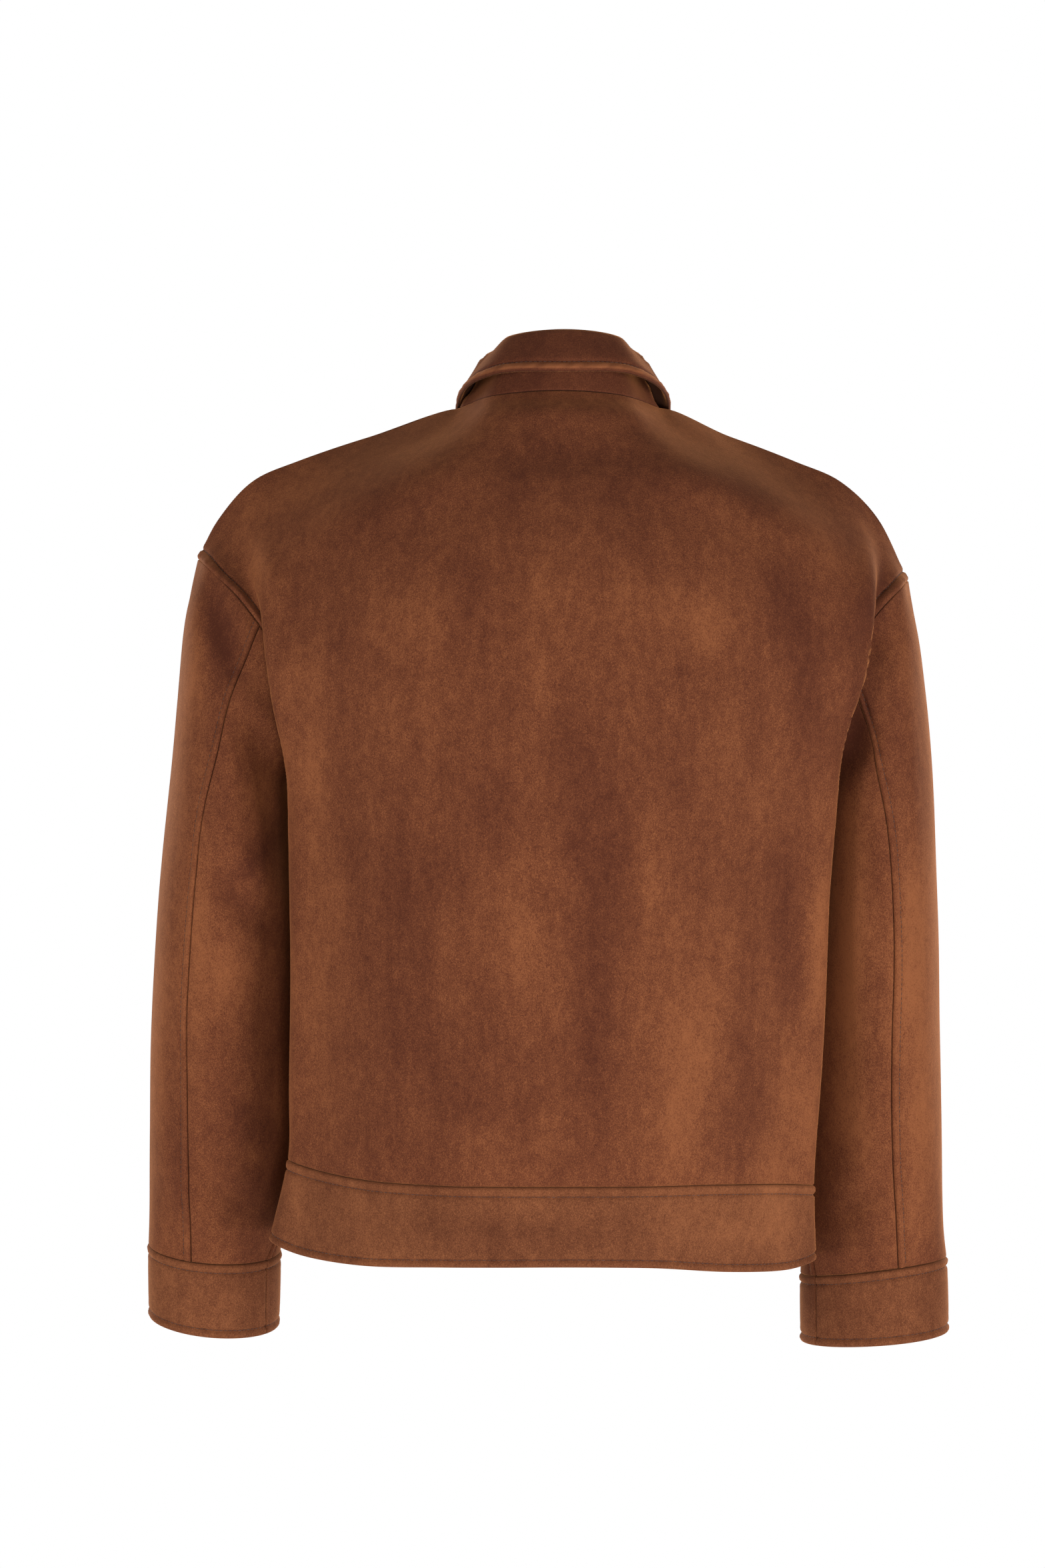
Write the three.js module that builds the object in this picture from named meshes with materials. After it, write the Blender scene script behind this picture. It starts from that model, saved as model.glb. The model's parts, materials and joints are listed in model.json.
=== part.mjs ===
// A short brown suede jacket, filled out as on an invisible wearer and hollow inside.
// Millimetres, +Z up. The back of the jacket faces -Y, its front +Y, and +X is the wearer's right.
// The origin lies between the two points where the shoulder seams meet the collar.

import * as THREE from "three";

// Driving dimensions.
const CLOTH = 2;                // thickness of the suede with its backing
const SEAM = 0.3;               // space between two pieces at a seam
const LAP = 16;                 // how far each front runs past the centre front
const LAP_SPACE = 0.7;          // air between the two fronts where they lap
const LAP_FADE = 45;            // distance over which the upper front sinks back to its own line
const SEAM_RIB = 1.6;           // how proud a folded seam allowance stands
const BAND_SWELL = 0.35;        // share of that height by which a doubled band swells between its seams
const SHARPEST = 0.3;           // least share of the wall left square to the cloth at a sharp seam
const LONGEST_MITRE = 1.5;      // most that the wall lengthens where two pieces meet at an angle
const BUTTON_RADIUS = 8.5;
const BUTTON_THICKNESS = 3.2;
const BUTTON_SPACE = 0.5;       // air between a button and the curved cloth under it

const SUEDE = 0x70402a;
const SUEDE_DARK = 0x5f3422;
const BUTTON_BROWN = 0x3a2418;

// Armhole of each side: the shoulder point, the underarm point, half its depth from front to back, and
// how far the seam is drawn inwards and up between them. x is the distance from the middle plane.
const ARMHOLE = {
  left: { tipX: 262.5, tipZ: -107, underX: 181, underZ: -262, y: 6.5, half: 63, inward: 22, rise: 6 },
  right: { tipX: 262.5, tipZ: -123, underX: 184, underZ: -264, y: 6.5, half: 63, inward: 13, rise: 9 },
};

// Shoulder seam from the collar to the armhole, at four stations: x on each side, height and y.
const SHOULDER = table(
  ["left", "right", "z", "y"],
  [
    [70, 79, 3, 0],
    [136, 130, -17, 4],
    [188, 178, -35.5, 5],
    [222, 212, -50.5, 6],
    [247.5, 241, -78, 8],
  ],
);

// Key sections of the back from the neck seam to the hem. z, y and middle are at the centre line; angle
// is the place on the armhole where the section ends; ridge is the soft fold beside the sleeve, drop is
// how much higher it lies on the left than on the right; hollow is the depth of the trough beyond it.
const BACK = table(
  ["angle", "z", "y", "middle", "ridgeLeft", "ridgeRight", "ridgeY", "ridgeZ", "drop", "hollow"],
  [
    [0, 11, -60, 3, 218, 212, 6, -50, 0, 0],
    [30, -24, -88, 4, 216, 229, -33, -106, 0, 5],
    [60, -70, -114, 5, 207, 229, -60, -143, 0, 8],
    [90, -124, -131, 5, 202, 222, -71, -187, 0, 4],
    [120, -180, -138, 5, 198, 212, -70, -226, 0, 2],
    [150, -230, -140, 4, 194, 207, -66, -257, 0, 7],
    [180, -272, -140, 4, 191.5, 204.5, -63, -284, 0, 10],
    [null, -345, -137, 3, 190, 199, -60, -347, 0, 5],
    [null, -420, -134, 3, 190, 196, -58, -421, 0, 4],
    [null, -495, -131, 2, 191, 192.5, -55, -494, 3, 2],
    [null, -557, -128, 0, 192, 188.5, -50, -554, 9, 2],
    [null, -614, -125, 0, 205, 189.5, -47, -611, 7, 2],
  ],
);

// The same for the two fronts, from the neck seam to the hem.
const FRONT = table(
  ["angle", "z", "y", "middle", "ridgeLeft", "ridgeRight", "ridgeY", "ridgeZ", "drop", "hollow"],
  [
    [0, -66, 72, 3, 218, 212, 6, -50, 0, 0],
    [30, -94, 98, 4, 214, 218, 40, -107, 0, 4],
    [60, -122, 117, 5, 204, 210, 66, -145, 0, 6],
    [90, -158, 131, 5, 195, 201, 79, -188, 0, 5],
    [120, -198, 138, 5, 190, 196, 77, -226, 0, 2],
    [150, -238, 141, 4, 188, 194, 75, -257, 0, 5],
    [180, -275, 141, 4, 188, 193, 72, -284, 0, 7],
    [null, -345, 139, 3, 188, 193, 67, -347, 0, 5],
    [null, -420, 137, 3, 187, 190, 65, -421, 0, 2],
    [null, -495, 134, 2, 187, 187, 62, -494, 3, 2],
    [null, -557, 131, 0, 187, 182, 60, -554, 9, 2],
    [null, -615, 128, 0, 189, 181, 58, -613, 9, 2],
  ],
);

// Side seam below the underarm, for the last sections of both tables.
const SIDE = table(
  ["left", "right", "y", "z", "drop"],
  [
    [183, 187, 6, -347, 0],
    [183.5, 186, 7, -421, 0],
    [184, 183.5, 8, -494, 3],
    [184.5, 180, 8, -554, 9],
    [188, 179.5, 8, -611, 9],
  ],
);

// Key columns of a section from the centre line to the armhole or side seam, as shares of the way to
// the ridge. After them come the ridge, the hollow and the edge itself.
const SHARES = [0, 0.21, 0.4, 0.66, 0.88];
const NECK_COLUMN = 2;
const EDGE_COLUMN = 7;
const DEPTH_POWER = 2.5;        // how late the section turns away from the centre
const FALL_POWER = 1.6;         // how late it drops towards the ridge, above the waist
const LOW_FALL_POWER = 5;       // the same for the level seams at the waist
const HEM_SAG = { left: 4, right: 7.3 };  // how far the back's hem sags beside its two ridges

// Sleeve sections from the armhole to the cuff: outer and inner point, y and half depth of the middle,
// tilt of the section from back to front, the turn of the seams round the sleeve in degrees, and how
// much further the underarm seam turns towards the back.
const SLEEVE = {
  left: table(
    ["outX", "outZ", "inX", "inZ", "y", "half", "tilt", "turn", "under"],
    [
      [270.5, -150, 193, -270, 3, 61, 0, 14, 0],
      [276.8, -217, 193, -296, 6, 67, 0, 5, 0],
      [284, -290, 190.5, -335, 11, 71, 0, -7, 0],
      [292.5, -375, 189, -395, 17, 70, 0, -10, 0],
      [297, -455, 189.5, -465, 23, 65, 0, -10, 0],
      [299, -530, 192, -535, 29, 59, 2, -8, 0],
      [299.5, -586, 197, -588, 34, 51, 5, -5, -10],
      [300.5, -614, 202.5, -620.5, 36, 43, 8, -2, -33],
    ],
  ),
  right: table(
    ["outX", "outZ", "inX", "inZ", "y", "half", "tilt", "turn", "under"],
    [
      [269.6, -165, 198, -271, 4, 62, 0, 14, 0],
      [275.5, -217, 197, -298, 6, 67, 0, 6, 0],
      [281.2, -290, 195, -335, 11, 71, 0, -4, 0],
      [285.3, -375, 192.5, -395, 17, 70, 0, -9, 0],
      [286.8, -455, 190, -465, 23, 65, 0, -8, 0],
      [288.3, -530, 187.5, -535, 29, 60, 0, -10, 0],
      [290, -596, 185.5, -602, 34, 52, 0, -15, -8],
      [292.5, -624, 184.5, -637, 36, 45, 0, -16, -18],
    ],
  ),
};

// Cuffs: the lower edge, as one more section in the same terms.
const CUFF = {
  left: { outX: 300.5, outZ: -667.5, inX: 203, inZ: -675.5, y: 38, half: 43, tilt: 8, turn: -2, under: -33 },
  right: { outX: 294, outZ: -679.5, inX: 185, inZ: -687.4, y: 38, half: 45, tilt: 2, turn: -16, under: -18 },
};

// How the cloth of a band stands proud, from its upper seam to its edge: share of the height, and share
// of the seam rib's height.
const BAND_RELIEF = table(
  ["down", "proud"],
  [
    [0, 0],
    [0.05, 1],
    [0.13, 0.1],
    [0.5, BAND_SWELL],
    [1, 0],
  ],
);

// Collar round the neck, from the centre back to the centre front. turn is the angle round the neck;
// in, back and up lead from the neck seam to the top of the stand; the edge is the fall's lower edge.
const COLLAR_MIDDLE = 7.5;
const STAND_LEAN = 3.5;           // how far the top of the stand leans to the right
const COLLAR = table(
  ["turn", "in", "back", "up", "edgeX", "edgeY", "edgeZ"],
  [
    [0, 0, 12, 40, 0, -69, 24],
    [45, 9.5, 10, 39, 52, -53, 23],
    [90, 19.5, 1, 35, 78.5, 3, 7],
    [135, 8, -10, 32, 70, 62, -42],
    [180, 0, -12, 30, 26, 104, -96],
  ],
);
const ROLL_UP = 5;              // how far the fold rises above the stand
const ROLL_OUT = 6;             // how far the fall leaves the stand at the fold
const FALL_END = 168;           // angle round the neck where each end of the fall stops

// Soft folds: on which grid, from one place to another, half width and depth, all in key columns and
// rows of that grid but for the depth. A positive depth stands proud.
const FOLDS = table(
  ["piece", "fromAcross", "fromDown", "toAcross", "toDown", "width", "depth"],
  [
    ["back", -6.2, 1.6, -4.2, 4.6, 0.8, 4],
    ["back", 6.2, 1.8, 4.3, 4.4, 0.8, 4],
    ["back", -4.4, 7.2, -4.1, 9.8, 0.7, -3],
    ["back", 2.6, 6.4, 3.4, 9.6, 1.0, -3],
    ["back", -1.0, 4.5, -0.6, 9.0, 1.2, 2],
    ["front", -5.8, 2.2, -3.6, 5.4, 0.9, 4],
    ["front", 5.6, 2.0, 3.4, 5.0, 0.9, 4],
    ["front", 3.2, 6.8, 3.8, 9.6, 0.9, -3],
  ],
);

// How finely each stretch between two key columns or rows is divided.
const BODY_STEPS_ACROSS = [2, 2, 2, 2, 1, 2, 2];
const BODY_STEPS_DOWN = [2, 2, 2, 2, 2, 2, 1, 2, 1, 1];
const SLEEVE_STEPS_DOWN = [2, 2, 2, 2, 1, 2, 1, 1];
const WAIST_ROW = 10;
const UNDERARM_ROW = 6;
// Columns round each sleeve where its two seams run; the underarm seam meets the body's side seam.
const SEAM_COLUMNS = { left: { back: 5, underarm: 12 }, right: { back: 6, underarm: 12 } };
const BUTTON_ROWS = [0.75, 2.6, 4.55, 6.25, 7.6, 8.95, 10.55];

function table(names, rows) {
  return rows.map((row) => Object.fromEntries(names.map((name, i) => [name, row[i]])));
}

function point(x, y, z) {
  return new THREE.Vector3(x, y, z);
}

function signOf(side) {
  return side === "left" ? -1 : 1;
}

// The point at t on a smooth curve through evenly counted points; past the ends it runs on straight.
function through(points, t) {
  const last = points.length - 1;
  const i = Math.min(Math.max(Math.floor(t), 0), last - 1);
  const f = t - i;
  const p1 = points[i];
  const p2 = points[i + 1];
  const p0 = i > 0 ? points[i - 1] : p1.clone().multiplyScalar(2).sub(p2);
  const p3 = i + 2 <= last ? points[i + 2] : p2.clone().multiplyScalar(2).sub(p1);
  const weights = [
    0.5 * (-f + 2 * f * f - f * f * f),
    0.5 * (2 - 5 * f * f + 3 * f * f * f),
    0.5 * (f + 4 * f * f - 3 * f * f * f),
    0.5 * (-f * f + f * f * f),
  ];
  return point(0, 0, 0)
    .addScaledVector(p0, weights[0])
    .addScaledVector(p1, weights[1])
    .addScaledVector(p2, weights[2])
    .addScaledVector(p3, weights[3]);
}

// Whole and part steps from first to last, each stretch between whole numbers divided as listed.
function stations(steps, first) {
  const list = [first];
  steps.forEach((count, k) => {
    for (let i = 1; i <= count; i += 1) {
      list.push(first + k + i / count);
    }
  });
  return list;
}

// A point of the armhole seam. 0 degrees is the shoulder, 90 the back, 180 the underarm, -90 the front.
function armhole(side, degrees) {
  const hole = ARMHOLE[side];
  const angle = THREE.MathUtils.degToRad(degrees);
  const drawn = Math.sin(angle) ** 2;
  const x = (hole.tipX + hole.underX) / 2 + Math.cos(angle) * (hole.tipX - hole.underX) / 2;
  const z = (hole.tipZ + hole.underZ) / 2 + Math.cos(angle) * (hole.tipZ - hole.underZ) / 2;
  return point(
    signOf(side) * (x - hole.inward * drawn),
    hole.y - hole.half * Math.sin(angle),
    z + hole.rise * drawn,
  );
}

// The outer end of a body section: on the armhole, or on the side seam below it.
function sectionEdge(side, section, row, towardsBack) {
  if (section.angle !== null) {
    return armhole(side, section.angle * (towardsBack ? 1 : -1));
  }
  const seam = SIDE[row - UNDERARM_ROW - 1];
  return point(signOf(side) * seam[side], seam.y, seam.z - signOf(side) * seam.drop);
}

// Key points of one half of a body section, from the centre line outwards.
function halfSection(side, section, row, towardsBack) {
  const sign = signOf(side);
  const ridgeX = sign * section[side === "left" ? "ridgeLeft" : "ridgeRight"];
  const ridgeZ = section.ridgeZ - sign * section.drop;
  const edge = sectionEdge(side, section, row, towardsBack);
  if (row === 0) {
    const centre = point(section.middle, section.y, section.z);
    const neckSide = SHOULDER[0];
    const nape = point(
      section.middle + 0.62 * (sign * neckSide[side] - section.middle),
      section.y * 0.78,
      section.z + 0.3 * (neckSide.z - section.z),
    );
    const seam = SHOULDER.map((station) => point(sign * station[side], station.y, station.z));
    return [centre, nape, ...seam, edge];
  }
  const power = row < WAIST_ROW ? FALL_POWER : LOW_FALL_POWER;
  const sag = towardsBack && row > WAIST_ROW ? HEM_SAG[side] : 0;
  const points = SHARES.map((share) => point(
    section.middle + (ridgeX - section.middle) * share,
    section.y + (section.ridgeY - section.y) * share ** DEPTH_POWER,
    section.z + (ridgeZ - section.z) * share ** power - sag * Math.sin(Math.PI * share ** 3),
  ));
  const ridge = point(ridgeX, section.ridgeY, ridgeZ);
  const hollow = ridge.clone().add(edge).multiplyScalar(0.5);
  hollow.x -= sign * 0.6 * section.hollow;
  hollow.y += (towardsBack ? 0.8 : -0.8) * section.hollow;
  return [...points, ridge, hollow, edge];
}

// Key points of all sections of the back or the front, from the left edge to the right edge.
function bodyNet(sections, towardsBack) {
  return sections.map((section, row) => {
    const left = halfSection("left", section, row, towardsBack);
    const right = halfSection("right", section, row, towardsBack);
    return [...left.slice(1).reverse(), ...right];
  });
}

// A point of a net. across counts key columns from the centre, left negative; down counts key rows.
function netPoint(net, across, down) {
  const column = net.map((row) => through(row, across + EDGE_COLUMN));
  return through(column, down);
}

function netNormal(net, across, down, outward) {
  const step = 0.03;
  const alongRow = netPoint(net, across + step, down).sub(netPoint(net, across - step, down));
  const alongColumn = netPoint(net, across, down + step).sub(netPoint(net, across, down - step));
  return alongRow.cross(alongColumn).normalize().multiplyScalar(outward);
}

// How far the folds of a piece move the cloth at a place of its net.
function foldDepth(piece, across, down) {
  let depth = 0;
  for (const fold of FOLDS.filter((each) => each.piece === piece)) {
    const runAcross = fold.toAcross - fold.fromAcross;
    const runDown = fold.toDown - fold.fromDown;
    const length = runAcross ** 2 + runDown ** 2;
    const along = ((across - fold.fromAcross) * runAcross + (down - fold.fromDown) * runDown) / length;
    const held = THREE.MathUtils.clamp(along, 0, 1);
    const awayAcross = across - fold.fromAcross - held * runAcross;
    const awayDown = down - fold.fromDown - held * runDown;
    const away = (awayAcross ** 2 + awayDown ** 2) / fold.width ** 2;
    depth += fold.depth * Math.sin(Math.PI * (0.1 + 0.8 * held)) * Math.exp(-away);
  }
  return depth;
}

// Folds die out before the outer seams, so that the pieces still meet there.
function awayFromSeams(across, down) {
  const side = THREE.MathUtils.smoothstep(EDGE_COLUMN - Math.abs(across), 0, 1.5);
  const ends = THREE.MathUtils.smoothstep(down, 0, 1.5)
    * THREE.MathUtils.smoothstep(WAIST_ROW - down, 0, 1);
  return side * ends;
}

// Points of a body piece for listed columns and rows. lift gives how far a column lies over the other.
function bodyGrid(net, piece, columns, rows, outward, lift) {
  return rows.map((down) => columns.map((across) => {
    const depth = foldDepth(piece, across, down) * awayFromSeams(across, down);
    const proud = depth + lift(across, down);
    const place = netPoint(net, across, down);
    if (proud === 0) {
      return place;
    }
    return place.addScaledVector(netNormal(net, across, down, outward), proud);
  }));
}

// Two rows or columns that a seam joins meet halfway.
function sewTogether(pairs) {
  for (const [a, b] of pairs) {
    const half = a.clone().add(b).multiplyScalar(0.5);
    a.copy(half);
    b.copy(half);
  }
}

// Share of the underarm seam's own turn that a column of the sleeve takes, none at the back seam.
function underShare(side, column) {
  const { back, underarm } = SEAM_COLUMNS[side];
  const rising = (column - back) / (underarm - back);
  const falling = (2 * underarm - column) / underarm;
  return Math.max(0, Math.min(rising, falling));
}

// One point of a sleeve or cuff section, counted in columns: from the outer point round the back, the
// underarm at half way, and the front.
function tubePoint(side, section, column, columns) {
  const turned = section.turn + section.under * underShare(side, column);
  const angle = THREE.MathUtils.degToRad((360 * column) / columns + turned);
  const x = (section.outX + section.inX) / 2 + Math.cos(angle) * (section.outX - section.inX) / 2;
  const z = (section.outZ + section.inZ) / 2 + Math.cos(angle) * (section.outZ - section.inZ) / 2;
  return point(
    signOf(side) * x,
    section.y - section.half * Math.sin(angle),
    z - section.tilt * Math.sin(angle),
  );
}

const backNet = bodyNet(BACK, true);
const frontNet = bodyNet(FRONT, false);

const halfColumns = stations(BODY_STEPS_ACROSS, 0);
const backColumns = [...halfColumns.slice(1).reverse().map((c) => -c), ...halfColumns];
const bodyRows = stations(BODY_STEPS_DOWN, 0);
const bandRows = BAND_RELIEF.map((station) => WAIST_ROW + station.down);
const allRows = [...bodyRows, ...bandRows.slice(1)];
const waistIndex = bodyRows.length - 1;
const underarmIndex = bodyRows.indexOf(UNDERARM_ROW);

// The lap in key columns, from the width of the front's first column at each row.
function lapColumn(down) {
  return LAP / (netPoint(frontNet, 1, down).x - netPoint(frontNet, 0, down).x);
}

// The upper front is lifted over the under one near the centre and sinks back beyond it.
function lapLift(across, down) {
  const width = netPoint(frontNet, 1, down).x - netPoint(frontNet, 0, down).x;
  const beyond = -across * width - LAP;
  return (CLOTH + LAP_SPACE) * (1 - THREE.MathUtils.smoothstep(beyond, 4, 4 + LAP_FADE));
}

const noLift = () => 0;

// Points of one front, with its last column run past the centre by the lap.
function frontGrid(side) {
  const sign = signOf(side);
  const lift = side === "left" ? lapLift : noLift;
  return allRows.map((down) => {
    const columns = [-lapColumn(down), ...halfColumns].map((c) => c * sign);
    const ordered = side === "left" ? columns.reverse() : columns;
    return bodyGrid(frontNet, "front", ordered, [down], 1, lift)[0];
  });
}

const backGrid = bodyGrid(backNet, "back", backColumns, allRows, -1, noLift);
const leftFront = frontGrid("left");
const rightFront = frontGrid("right");
const lastBack = backColumns.length - 1;
const lastFront = leftFront[0].length - 1;
const neckSteps = halfColumns.indexOf(NECK_COLUMN);
const edgeSteps = halfColumns.length - 1;

// Shoulder seams, then side seams from the underarm to the hem.
sewTogether(backColumns.slice(0, edgeSteps - neckSteps + 1).map((_, i) => [
  backGrid[0][i],
  leftFront[0][i],
]));
sewTogether(backColumns.slice(0, edgeSteps - neckSteps + 1).map((_, i) => [
  backGrid[0][lastBack - i],
  rightFront[0][lastFront - i],
]));
sewTogether(allRows.slice(underarmIndex).map((_, i) => [
  backGrid[underarmIndex + i][0],
  leftFront[underarmIndex + i][0],
]));
sewTogether(allRows.slice(underarmIndex).map((_, i) => [
  backGrid[underarmIndex + i][lastBack],
  rightFront[underarmIndex + i][lastFront],
]));

// Sleeve: its first row is the armhole of the body pieces, shoulder to back to underarm to front.
function sleeveGrid(side) {
  const backEdge = backGrid.map((row) => row[side === "left" ? 0 : lastBack]);
  const frontEdge = (side === "left" ? leftFront : rightFront)
    .map((row) => row[side === "left" ? 0 : lastFront]);
  const towardsBack = backEdge.slice(0, underarmIndex + 1);
  const towardsFront = frontEdge.slice(1, underarmIndex).reverse();
  const ring = [...towardsBack, ...towardsFront];
  const sections = SLEEVE[side];
  const columns = ring.map((start, k) => {
    return [start, ...sections.map((each) => tubePoint(side, each, k, ring.length))];
  });
  return stations(SLEEVE_STEPS_DOWN, 0).map((down) => columns.map((column, k) => (
    down === 0 ? ring[k] : through(column, down)
  )));
}

// Cuff: from the sleeve's last row straight down to the cuff's edge.
function cuffGrid(side, sleeve) {
  const top = sleeve[sleeve.length - 1];
  const bottom = top.map((_, k) => tubePoint(side, CUFF[side], k, top.length));
  return BAND_RELIEF.map((station) => top.map((start, k) => (
    station.down === 0 ? start : start.clone().lerp(bottom[k], station.down)
  )));
}

// Collar table read at an angle round the neck, negative to the left.
function collarAt(turn) {
  const t = Math.min(Math.abs(turn), 180) / 45;
  const mirrored = [COLLAR[1], ...COLLAR];
  const read = (a, b, c) => through(
    mirrored.map((row, i) => point(
      row[a] * (i === 0 && a !== "up" ? -1 : 1),
      row[b],
      row[c],
    )),
    t + 1,
  );
  const rise = read("in", "back", "up");
  const edge = read("edgeX", "edgeY", "edgeZ");
  const sign = turn < 0 ? -1 : 1;
  rise.x = STAND_LEAN - sign * rise.x;
  edge.x = COLLAR_MIDDLE + sign * edge.x;
  return { rise, edge, sign };
}

// Neck seam from the left front's lap round the back to the right front's lap, with its turns.
function neckSeam() {
  const seam = [];
  const frontTurn = (across) => 180 - 90 * (across / NECK_COLUMN);
  const fromLap = [-lapColumn(0), ...halfColumns.slice(0, neckSteps)];
  fromLap.forEach((across, i) => {
    seam.push({ turn: -frontTurn(across), place: leftFront[0][lastFront - i] });
  });
  for (let i = edgeSteps - neckSteps; i <= edgeSteps + neckSteps; i += 1) {
    seam.push({ turn: 90 * (backColumns[i] / NECK_COLUMN), place: backGrid[0][i] });
  }
  fromLap.map((across, i) => [across, i]).reverse().forEach(([across, i]) => {
    seam.push({ turn: frontTurn(across), place: rightFront[0][i] });
  });
  return seam;
}

const seam = neckSeam();

function standGrid() {
  return [0, 0.5, 1].map((up) => seam.map(({ turn, place }) => {
    const rise = collarAt(turn).rise;
    return up === 0 ? place : place.clone().addScaledVector(rise, up);
  })).reverse();
}

// The fall rolls over from the top of the stand and runs down to its edge. Each end is cut slanting.
function fallGrid(standTop) {
  const firstTurn = seam.findIndex(({ turn }) => turn > -180);
  const lastTurn = seam.length - 1 - firstTurn;
  const columns = [];
  for (let i = firstTurn; i <= lastTurn; i += 1) {
    const turn = THREE.MathUtils.clamp(seam[i].turn, -FALL_END, FALL_END);
    const { edge } = collarAt(turn);
    const start = standTop[i];
    const outward = edge.clone().sub(start).setZ(0).normalize();
    const fold = start.clone().addScaledVector(outward, 1.5).add(point(0, 0, ROLL_UP));
    const over = start.clone().addScaledVector(outward, ROLL_OUT).add(point(0, 0, ROLL_UP * 0.3));
    const middle = over.clone().lerp(edge, 0.5).addScaledVector(outward, 1.5);
    columns.push([start, fold, over, middle, edge]);
  }
  return [0, 0.5, 1, 1.5, 2, 3, 4].map((down) => columns.map((column) => (
    down === 0 ? column[0] : through(column, down)
  )));
}

// All cloth pieces as grids of points on their outer face. closed joins the last column to the first,
// facing is the sense of the grid, relief is how far each row stands proud, and the first plainColumns
// columns have none, where another piece laps over them.
const pieces = [];

function cut(name, part, grid, options = {}) {
  const { closed = false, facing = 1, relief = null, plainColumns = 0, colour = SUEDE } = options;
  pieces.push({ name, part, grid, closed, facing, relief, plainColumns, colour });
}

const bandRelief = BAND_RELIEF.map((station) => station.proud * SEAM_RIB);
const bodyPart = (grid) => grid.slice(0, waistIndex + 1);
const bandPart = (grid) => grid.slice(waistIndex);

cut("back", "body", bodyPart(backGrid), { facing: -1 });
cut("front_left", "body", bodyPart(leftFront));
cut("front_right", "body", bodyPart(rightFront));
cut("waistband_back", "waistband", bandPart(backGrid), { facing: -1, relief: bandRelief });
cut("waistband_front_left", "waistband", bandPart(leftFront), { relief: bandRelief });
cut("waistband_front_right", "waistband", bandPart(rightFront), { relief: bandRelief, plainColumns: 3 });

// Each sleeve is cut along its back seam and its underarm seam into an upper and an under piece.
for (const side of ["left", "right"]) {
  const grid = sleeveGrid(side);
  const facing = side === "left" ? -1 : 1;
  const { back, underarm } = SEAM_COLUMNS[side];
  const under = grid.map((row) => row.slice(back, underarm + 1));
  const upper = grid.map((row) => [...row.slice(underarm), ...row.slice(0, back + 1)]);
  cut(`sleeve_${side}_under`, "sleeve", under, { facing });
  cut(`sleeve_${side}_upper`, "sleeve", upper, { facing });
  cut(`cuff_${side}`, "cuff", cuffGrid(side, grid), { facing, closed: true, relief: bandRelief });
}

const stand = standGrid();
cut("collar_stand", "collar", stand, { facing: -1, colour: SUEDE_DARK });
cut("collar_fall", "collar", fallGrid(stand[0]).reverse(), { facing: -1, colour: SUEDE_DARK });

// Outward directions: each piece has its own at every point. Where pieces of one part of the jacket meet,
// they share their mean, and where two parts meet, they share the sum of both means.
const directions = new Map();

function keyOf(place) {
  return [place.x, place.y, place.z].map((value) => Math.round(value * 100)).join(",");
}

function nextColumn(piece, c) {
  return piece.closed ? (c + 1) % piece.grid[0].length : c + 1;
}

function eachQuad(piece, visit) {
  const columns = piece.closed ? piece.grid[0].length : piece.grid[0].length - 1;
  for (let r = 0; r < piece.grid.length - 1; r += 1) {
    for (let c = 0; c < columns; c += 1) {
      visit(r, c, r + 1, nextColumn(piece, c));
    }
  }
}

// The direction of every point of a piece, from the faces of that piece round it.
function ownDirections(piece) {
  const own = piece.grid.map((row) => row.map(() => point(0, 0, 0)));
  eachQuad(piece, (r, c, below, beside) => {
    const places = [[r, c], [r, beside], [below, c], [below, beside]];
    const [a, b, d, e] = places.map(([row, column]) => piece.grid[row][column]);
    const falling = e.clone().sub(a);
    const rising = d.clone().sub(b);
    const normal = falling.cross(rising).multiplyScalar(piece.facing);
    places.forEach(([row, column]) => own[row][column].add(normal));
  });
  return own.map((row) => row.map((normal) => normal.normalize()));
}

for (const piece of pieces) {
  piece.own = ownDirections(piece);
  const own = piece.own.flat();
  piece.grid.flat().forEach((place, i) => {
    const key = keyOf(place);
    if (!directions.has(key)) {
      directions.set(key, new Map());
    }
    const parts = directions.get(key);
    const sum = parts.get(piece.part) ?? point(0, 0, 0);
    parts.set(piece.part, sum.add(own[i]));
  });
}

function directionAt(place) {
  const parts = [...directions.get(keyOf(place)).values()];
  const sum = point(0, 0, 0);
  parts.forEach((mean) => sum.add(mean.clone().normalize()));
  return sum.normalize();
}

// Edges draw back by half the seam space, further where the pieces meet at a sharp angle.
function drawnBack(skin, piece, slants) {
  const rows = skin.length;
  const columns = skin[0].length;
  const moved = skin.map((row) => row.map((place) => place.clone()));
  const draw = (r, c, nextR, nextC) => {
    const way = skin[nextR][nextC].clone().sub(skin[r][c]).normalize();
    moved[r][c].addScaledVector(way, SEAM / 2 / Math.max(slants[r][c], SHARPEST));
  };
  for (let c = 0; c < columns; c += 1) {
    draw(0, c, 1, c);
    draw(rows - 1, c, rows - 2, c);
  }
  if (!piece.closed) {
    for (let r = 0; r < rows; r += 1) {
      draw(r, 0, r, 1);
      draw(r, columns - 1, r, columns - 2);
    }
  }
  return moved;
}

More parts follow.
